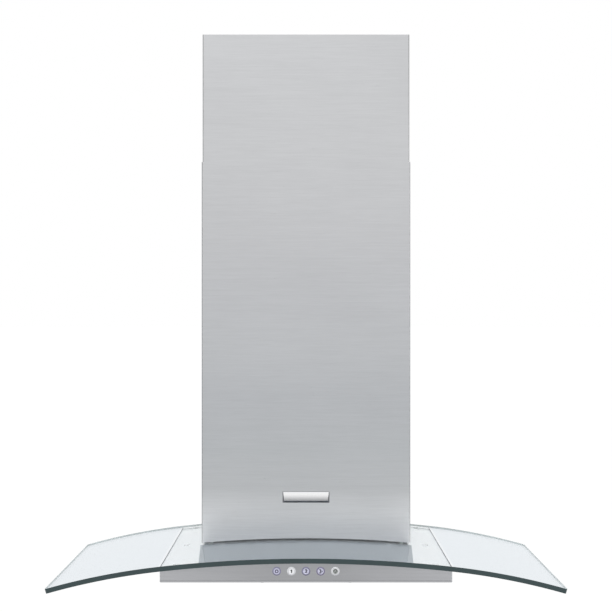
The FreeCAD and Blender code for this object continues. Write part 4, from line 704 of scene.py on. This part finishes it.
def badge():
    """Bare plate with a painted reflection on its face, whose sides and foot slope back into
    flanks painted dark, a painted reflection too.
    """
    low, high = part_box("badge_plate")
    back, front = high.y, low.y
    outline = [(low.x, low.z), (high.x, low.z), (high.x, high.z), (low.x, high.z)]
    face = [(low.x + BADGE_SIDE_FOOT, low.z + BADGE_FOOT),
            (high.x - BADGE_SIDE_FOOT, low.z + BADGE_FOOT),
            (high.x - BADGE_SIDE_TOP, high.z - BADGE_TOP_LIP),
            (low.x + BADGE_SIDE_TOP, high.z - BADGE_TOP_LIP)]
    levels = ((back, outline), (back - BADGE_BASE, outline), (front, face))
    points = [(x, y, z) for y, loop in levels for x, z in loop]
    faces = [[3, 2, 1, 0], [8, 9, 10, 11]]
    for ring in (0, 4):
        for i in range(4):
            after = (i + 1) % 4
            faces.append([ring + i, ring + after, ring + 4 + after, ring + 4 + i])

    def choose(side):
        forward = side.normal.y < FORWARD_NORMAL
        return 0 if forward and abs(side.center.y - front) < SAME_PLACE else 1

    made = piece("badge_bare", points, faces, [badge_painted_reflection(low.z, high.z), badge_flank_painted_reflection],
                 "root", choose)
    bevelled(made, BADGE_BEVEL, BADGE_BEVEL_STEPS, BADGE_BEVEL_ANGLE, BADGE_SHARP_ANGLE)
    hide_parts("badge_plate")


badge()


# ---- legends on the buttons ------------------------------------------------------------------

LEGEND_THICKNESS = 0.12 * MM
STROKE = 1.6 * MM
DIGIT_HIGH = 5.6 * MM
RING_RADIUS = 2.45 * MM
PLUS_HALF = 1.1 * MM
LAMP_FIELD = 4.5 * MM
BULB_RADIUS = 2.7 * MM
BULB_LINE_HALF = 1.9 * MM
FINE, FINER = 0.55, 0.5              # finer strokes, in shares of the full one


def ribbon(points, faces, path, width, front, closed=False):
    """A flat printed stroke along a path in the button's face, x to the right and z up."""
    count = len(path)
    first = len(points)
    for i, (x, z) in enumerate(path):
        before = path[i - 1] if i or closed else path[i]
        after = path[(i + 1) % count] if i < count - 1 or closed else path[i]
        way = Vector((after[0] - before[0], after[1] - before[1])).normalized()
        shift = Vector((-way.y, way.x)) * width / 2
        for sign in (-1, 1):
            for y in (front, front - LEGEND_THICKNESS):
                points.append((x + sign * shift.x, y, z + sign * shift.y))
    links = range(count if closed else count - 1)
    for i in links:
        a, b = first + 4 * i, first + 4 * ((i + 1) % count)
        for one, two in ((0, 1), (1, 3), (3, 2), (2, 0)):
            faces.append([a + one, b + one, b + two, a + two])
    if not closed:
        last = first + 4 * (count - 1)
        faces.append([first, first + 1, first + 3, first + 2])
        faces.append([last, last + 2, last + 3, last + 1])


# Each of these gives a mark's paths round the point (x, z), and whether each path is closed.

def ring_strokes(x, z):
    """A plain ring, for the switch."""
    return [(circle(x, z, RING_RADIUS), True)]


def one_strokes(x, z):
    """The digit one: a stem and its flag."""
    top, foot = z + DIGIT_HIGH / 2, z - DIGIT_HIGH / 2
    stem = x + 0.5 * MM
    return [([(stem, top), (stem, foot)], False),
            ([(stem - 1.8 * MM, top - 1.6 * MM), (stem, top - 0.4 * MM)], False)]


def two_strokes(x, z):
    """The digit two: a bow, a slant and a foot in one stroke."""
    radius, top, foot = 1.45 * MM, z + DIGIT_HIGH / 2, z - DIGIT_HIGH / 2
    bow = arc(x, top - radius, radius, 170, -45, 12)
    base = [(x - radius, foot + STROKE / 2), (x + 1.2 * radius, foot + STROKE / 2)]
    return [(bow + base, False)]


def three_strokes(x, z):
    """The digit three: two bows, a little left of the middle."""
    radius, middle = DIGIT_HIGH / 4, x - 1.0 * MM
    return [(arc(middle, z + radius, radius, 150, -90, 12)
             + arc(middle, z - radius, radius * 1.06, 80, -150, 12), False)]


def plus_strokes(x, z):
    """The small mark beside the three, for its stronger setting."""
    middle = x + 2.7 * MM
    return [([(middle - PLUS_HALF, z), (middle + PLUS_HALF, z)], False),
            ([(middle, z - PLUS_HALF), (middle, z + PLUS_HALF)], False)]


def lamp_field_strokes(x, z):
    """The round field behind the lamp mark: a ring so broad that it closes in the middle."""
    return [(circle(x, z, LAMP_FIELD / 2), True)]


def lamp_strokes(x, z):
    """A bulb over two short lines."""
    bulb = arc(x, z + 0.2 * MM, BULB_RADIUS, -25, 205, 20)
    half, low_half = BULB_LINE_HALF, 0.7 * BULB_LINE_HALF
    return [(bulb, False), ([(x - half, z - 1.2 * MM), (x + half, z - 1.2 * MM)], False),
            ([(x - low_half, z - 2.9 * MM), (x + low_half, z - 2.9 * MM)], False)]


LEGENDS = [    # button, word, strokes, ink, width and how many layers lie under it
    (1, "ring", ring_strokes, legend_violet, STROKE, 0),
    (2, "one", one_strokes, legend_black, STROKE, 0),
    (3, "two", two_strokes, legend_ink, STROKE, 0),
    (4, "three", three_strokes, legend_ink, STROKE, 0),
    (4, "plus", plus_strokes, legend_violet, STROKE * FINER, 0),
    (5, "lamp_field", lamp_field_strokes, legend_grey, LAMP_FIELD, 0),
    (5, "lamp", lamp_strokes, legend_black, STROKE * FINE, 1),
]


def legends():
    """Each mark stands on its button's face and rides with the button."""
    for number, word, strokes, ink, width, layer in LEGENDS:
        low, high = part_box(f"button_{number}")
        middle = (low + high) / 2
        front = low.y - layer * LEGEND_THICKNESS
        points, faces = [], []
        for path, closed in strokes(middle.x, middle.z):
            ribbon(points, faces, path, width, front, closed)
        piece(f"legend_{word}", points, faces, [ink], f"button_{number}")


legends()


# ---- stage, light and camera -----------------------------------------------------------------

WORLD_LEVEL = 0.76
FLOOR_LEVEL = -1.55
FLOOR_HALF = 400.0
FLOOR_GLOW = 1.12
FLOOR_GLOW_SHARE = 0.75              # of what is seen of the floor; the rest takes shadow
CAMERA_AT = (0.0, -3.0, 0.4538)
LENS = 85.58
SENSOR = 36.0
SHIFT_UP = 0.0237
LAMPS = [    # name, place, the point it is turned to, size and watts
    ("key", (-1.2, -3.6, 3.6), (0, 0, 0.5), (4.0, 2.8), 24),
    ("left_strip", (-2.3, -1.3, 0.6), (0, -0.2, 0.4), (0.4, 2.2), 9),
    ("fill", (2.4, -2.2, 0.6), (0, 0, 0.3), (1.6, 1.6), 16),
]


def seen_through(tree):
    """One for camera, glossy and transmission rays, nought for the rest."""
    rays = tree.nodes.new("ShaderNodeLightPath")
    total = rays.outputs["Is Camera Ray"]
    for name in ("Is Glossy Ray", "Is Transmission Ray"):
        most = tree.nodes.new("ShaderNodeMath")
        most.operation = "MAXIMUM"
        tree.links.new(total, most.inputs[0])
        tree.links.new(rays.outputs[name], most.inputs[1])
        total = most.outputs[0]
    return total


def white_world():
    """White to look at, and a plain even light on the object."""
    world = bpy.data.worlds.new("studio")
    bpy.context.scene.world = world
    world.use_nodes = True
    tree = world.node_tree
    strength = tree.nodes.new("ShaderNodeMapRange")
    tree.links.new(seen_through(tree), strength.inputs["Value"])
    strength.inputs["To Min"].default_value = WORLD_LEVEL
    strength.inputs["To Max"].default_value = 1.0
    background = tree.nodes["Background"]
    background.inputs["Color"].default_value = WHITE
    tree.links.new(strength.outputs["Result"], background.inputs["Strength"])


def blended(tree, share, first, second):
    """Two shaders mixed by a share, 0 to 1."""
    made = tree.nodes.new("ShaderNodeMixShader")
    for socket, source in zip(made.inputs, (share, first, second)):
        tree.links.new(source, socket)
    return made.outputs[0]


def floor():
    """Pale floor far below: white to look at, it still takes the object's shadow, and from
    under it the object shows through."""
    points = [(x * FLOOR_HALF, y * FLOOR_HALF, FLOOR_LEVEL)
              for x, y in ((-1, -1), (1, -1), (1, 1), (-1, 1))]
    mesh = bpy.data.meshes.new("floor")
    mesh.from_pydata(points, [], [[0, 1, 2, 3]])
    made = bpy.data.objects.new("floor", mesh)
    bpy.context.scene.collection.objects.link(made)
    finish = Finish("floor_white", roughness=0.9, specular=0.0)
    tree = finish.tree
    finish.set(Base_Color=finish.ramp(finish.noise(2, 3), (LOW, rgb(250, 250, 250)),
                                      (HIGH, rgb(252, 252, 252))))
    glow = finish.add("Emission", strength=FLOOR_GLOW).outputs[0]
    share = finish.span(seen_through(tree), 0.0, FLOOR_GLOW_SHARE)
    above = blended(tree, share, finish.shader.outputs[0], glow)
    backfacing = finish.add("NewGeometry").outputs["Backfacing"]
    both = blended(tree, backfacing, above, finish.add("BsdfTransparent").outputs[0])
    tree.links.new(both, tree.nodes["Material Output"].inputs["Surface"])
    mesh.materials.append(finish.material)


def softbox(name, at, towards, size, watts):
    """A rectangular lamp at a place, turned to a point."""
    lamp = bpy.data.lights.new(name, "AREA")
    lamp.shape = "RECTANGLE"
    lamp.size, lamp.size_y = size
    lamp.energy = watts
    made = bpy.data.objects.new(name, lamp)
    made.location = at
    made.rotation_euler = (Vector(towards) - Vector(at)).to_track_quat("-Z", "Y").to_euler()
    bpy.context.scene.collection.objects.link(made)


def camera():
    """Level, straight in front, framed by a small shift."""
    lens = bpy.data.cameras.new("camera")
    lens.lens, lens.sensor_width, lens.shift_y = LENS, SENSOR, SHIFT_UP
    lens.clip_end = 2 * FLOOR_HALF
    made = bpy.data.objects.new("camera", lens)
    made.location = CAMERA_AT
    made.rotation_euler = (math.radians(90), 0, 0)
    bpy.context.scene.collection.objects.link(made)
    bpy.context.scene.camera = made


white_world()
floor()
for lamp in LAMPS:
    softbox(*lamp)
camera()
bpy.context.scene.view_settings.view_transform = "Standard"
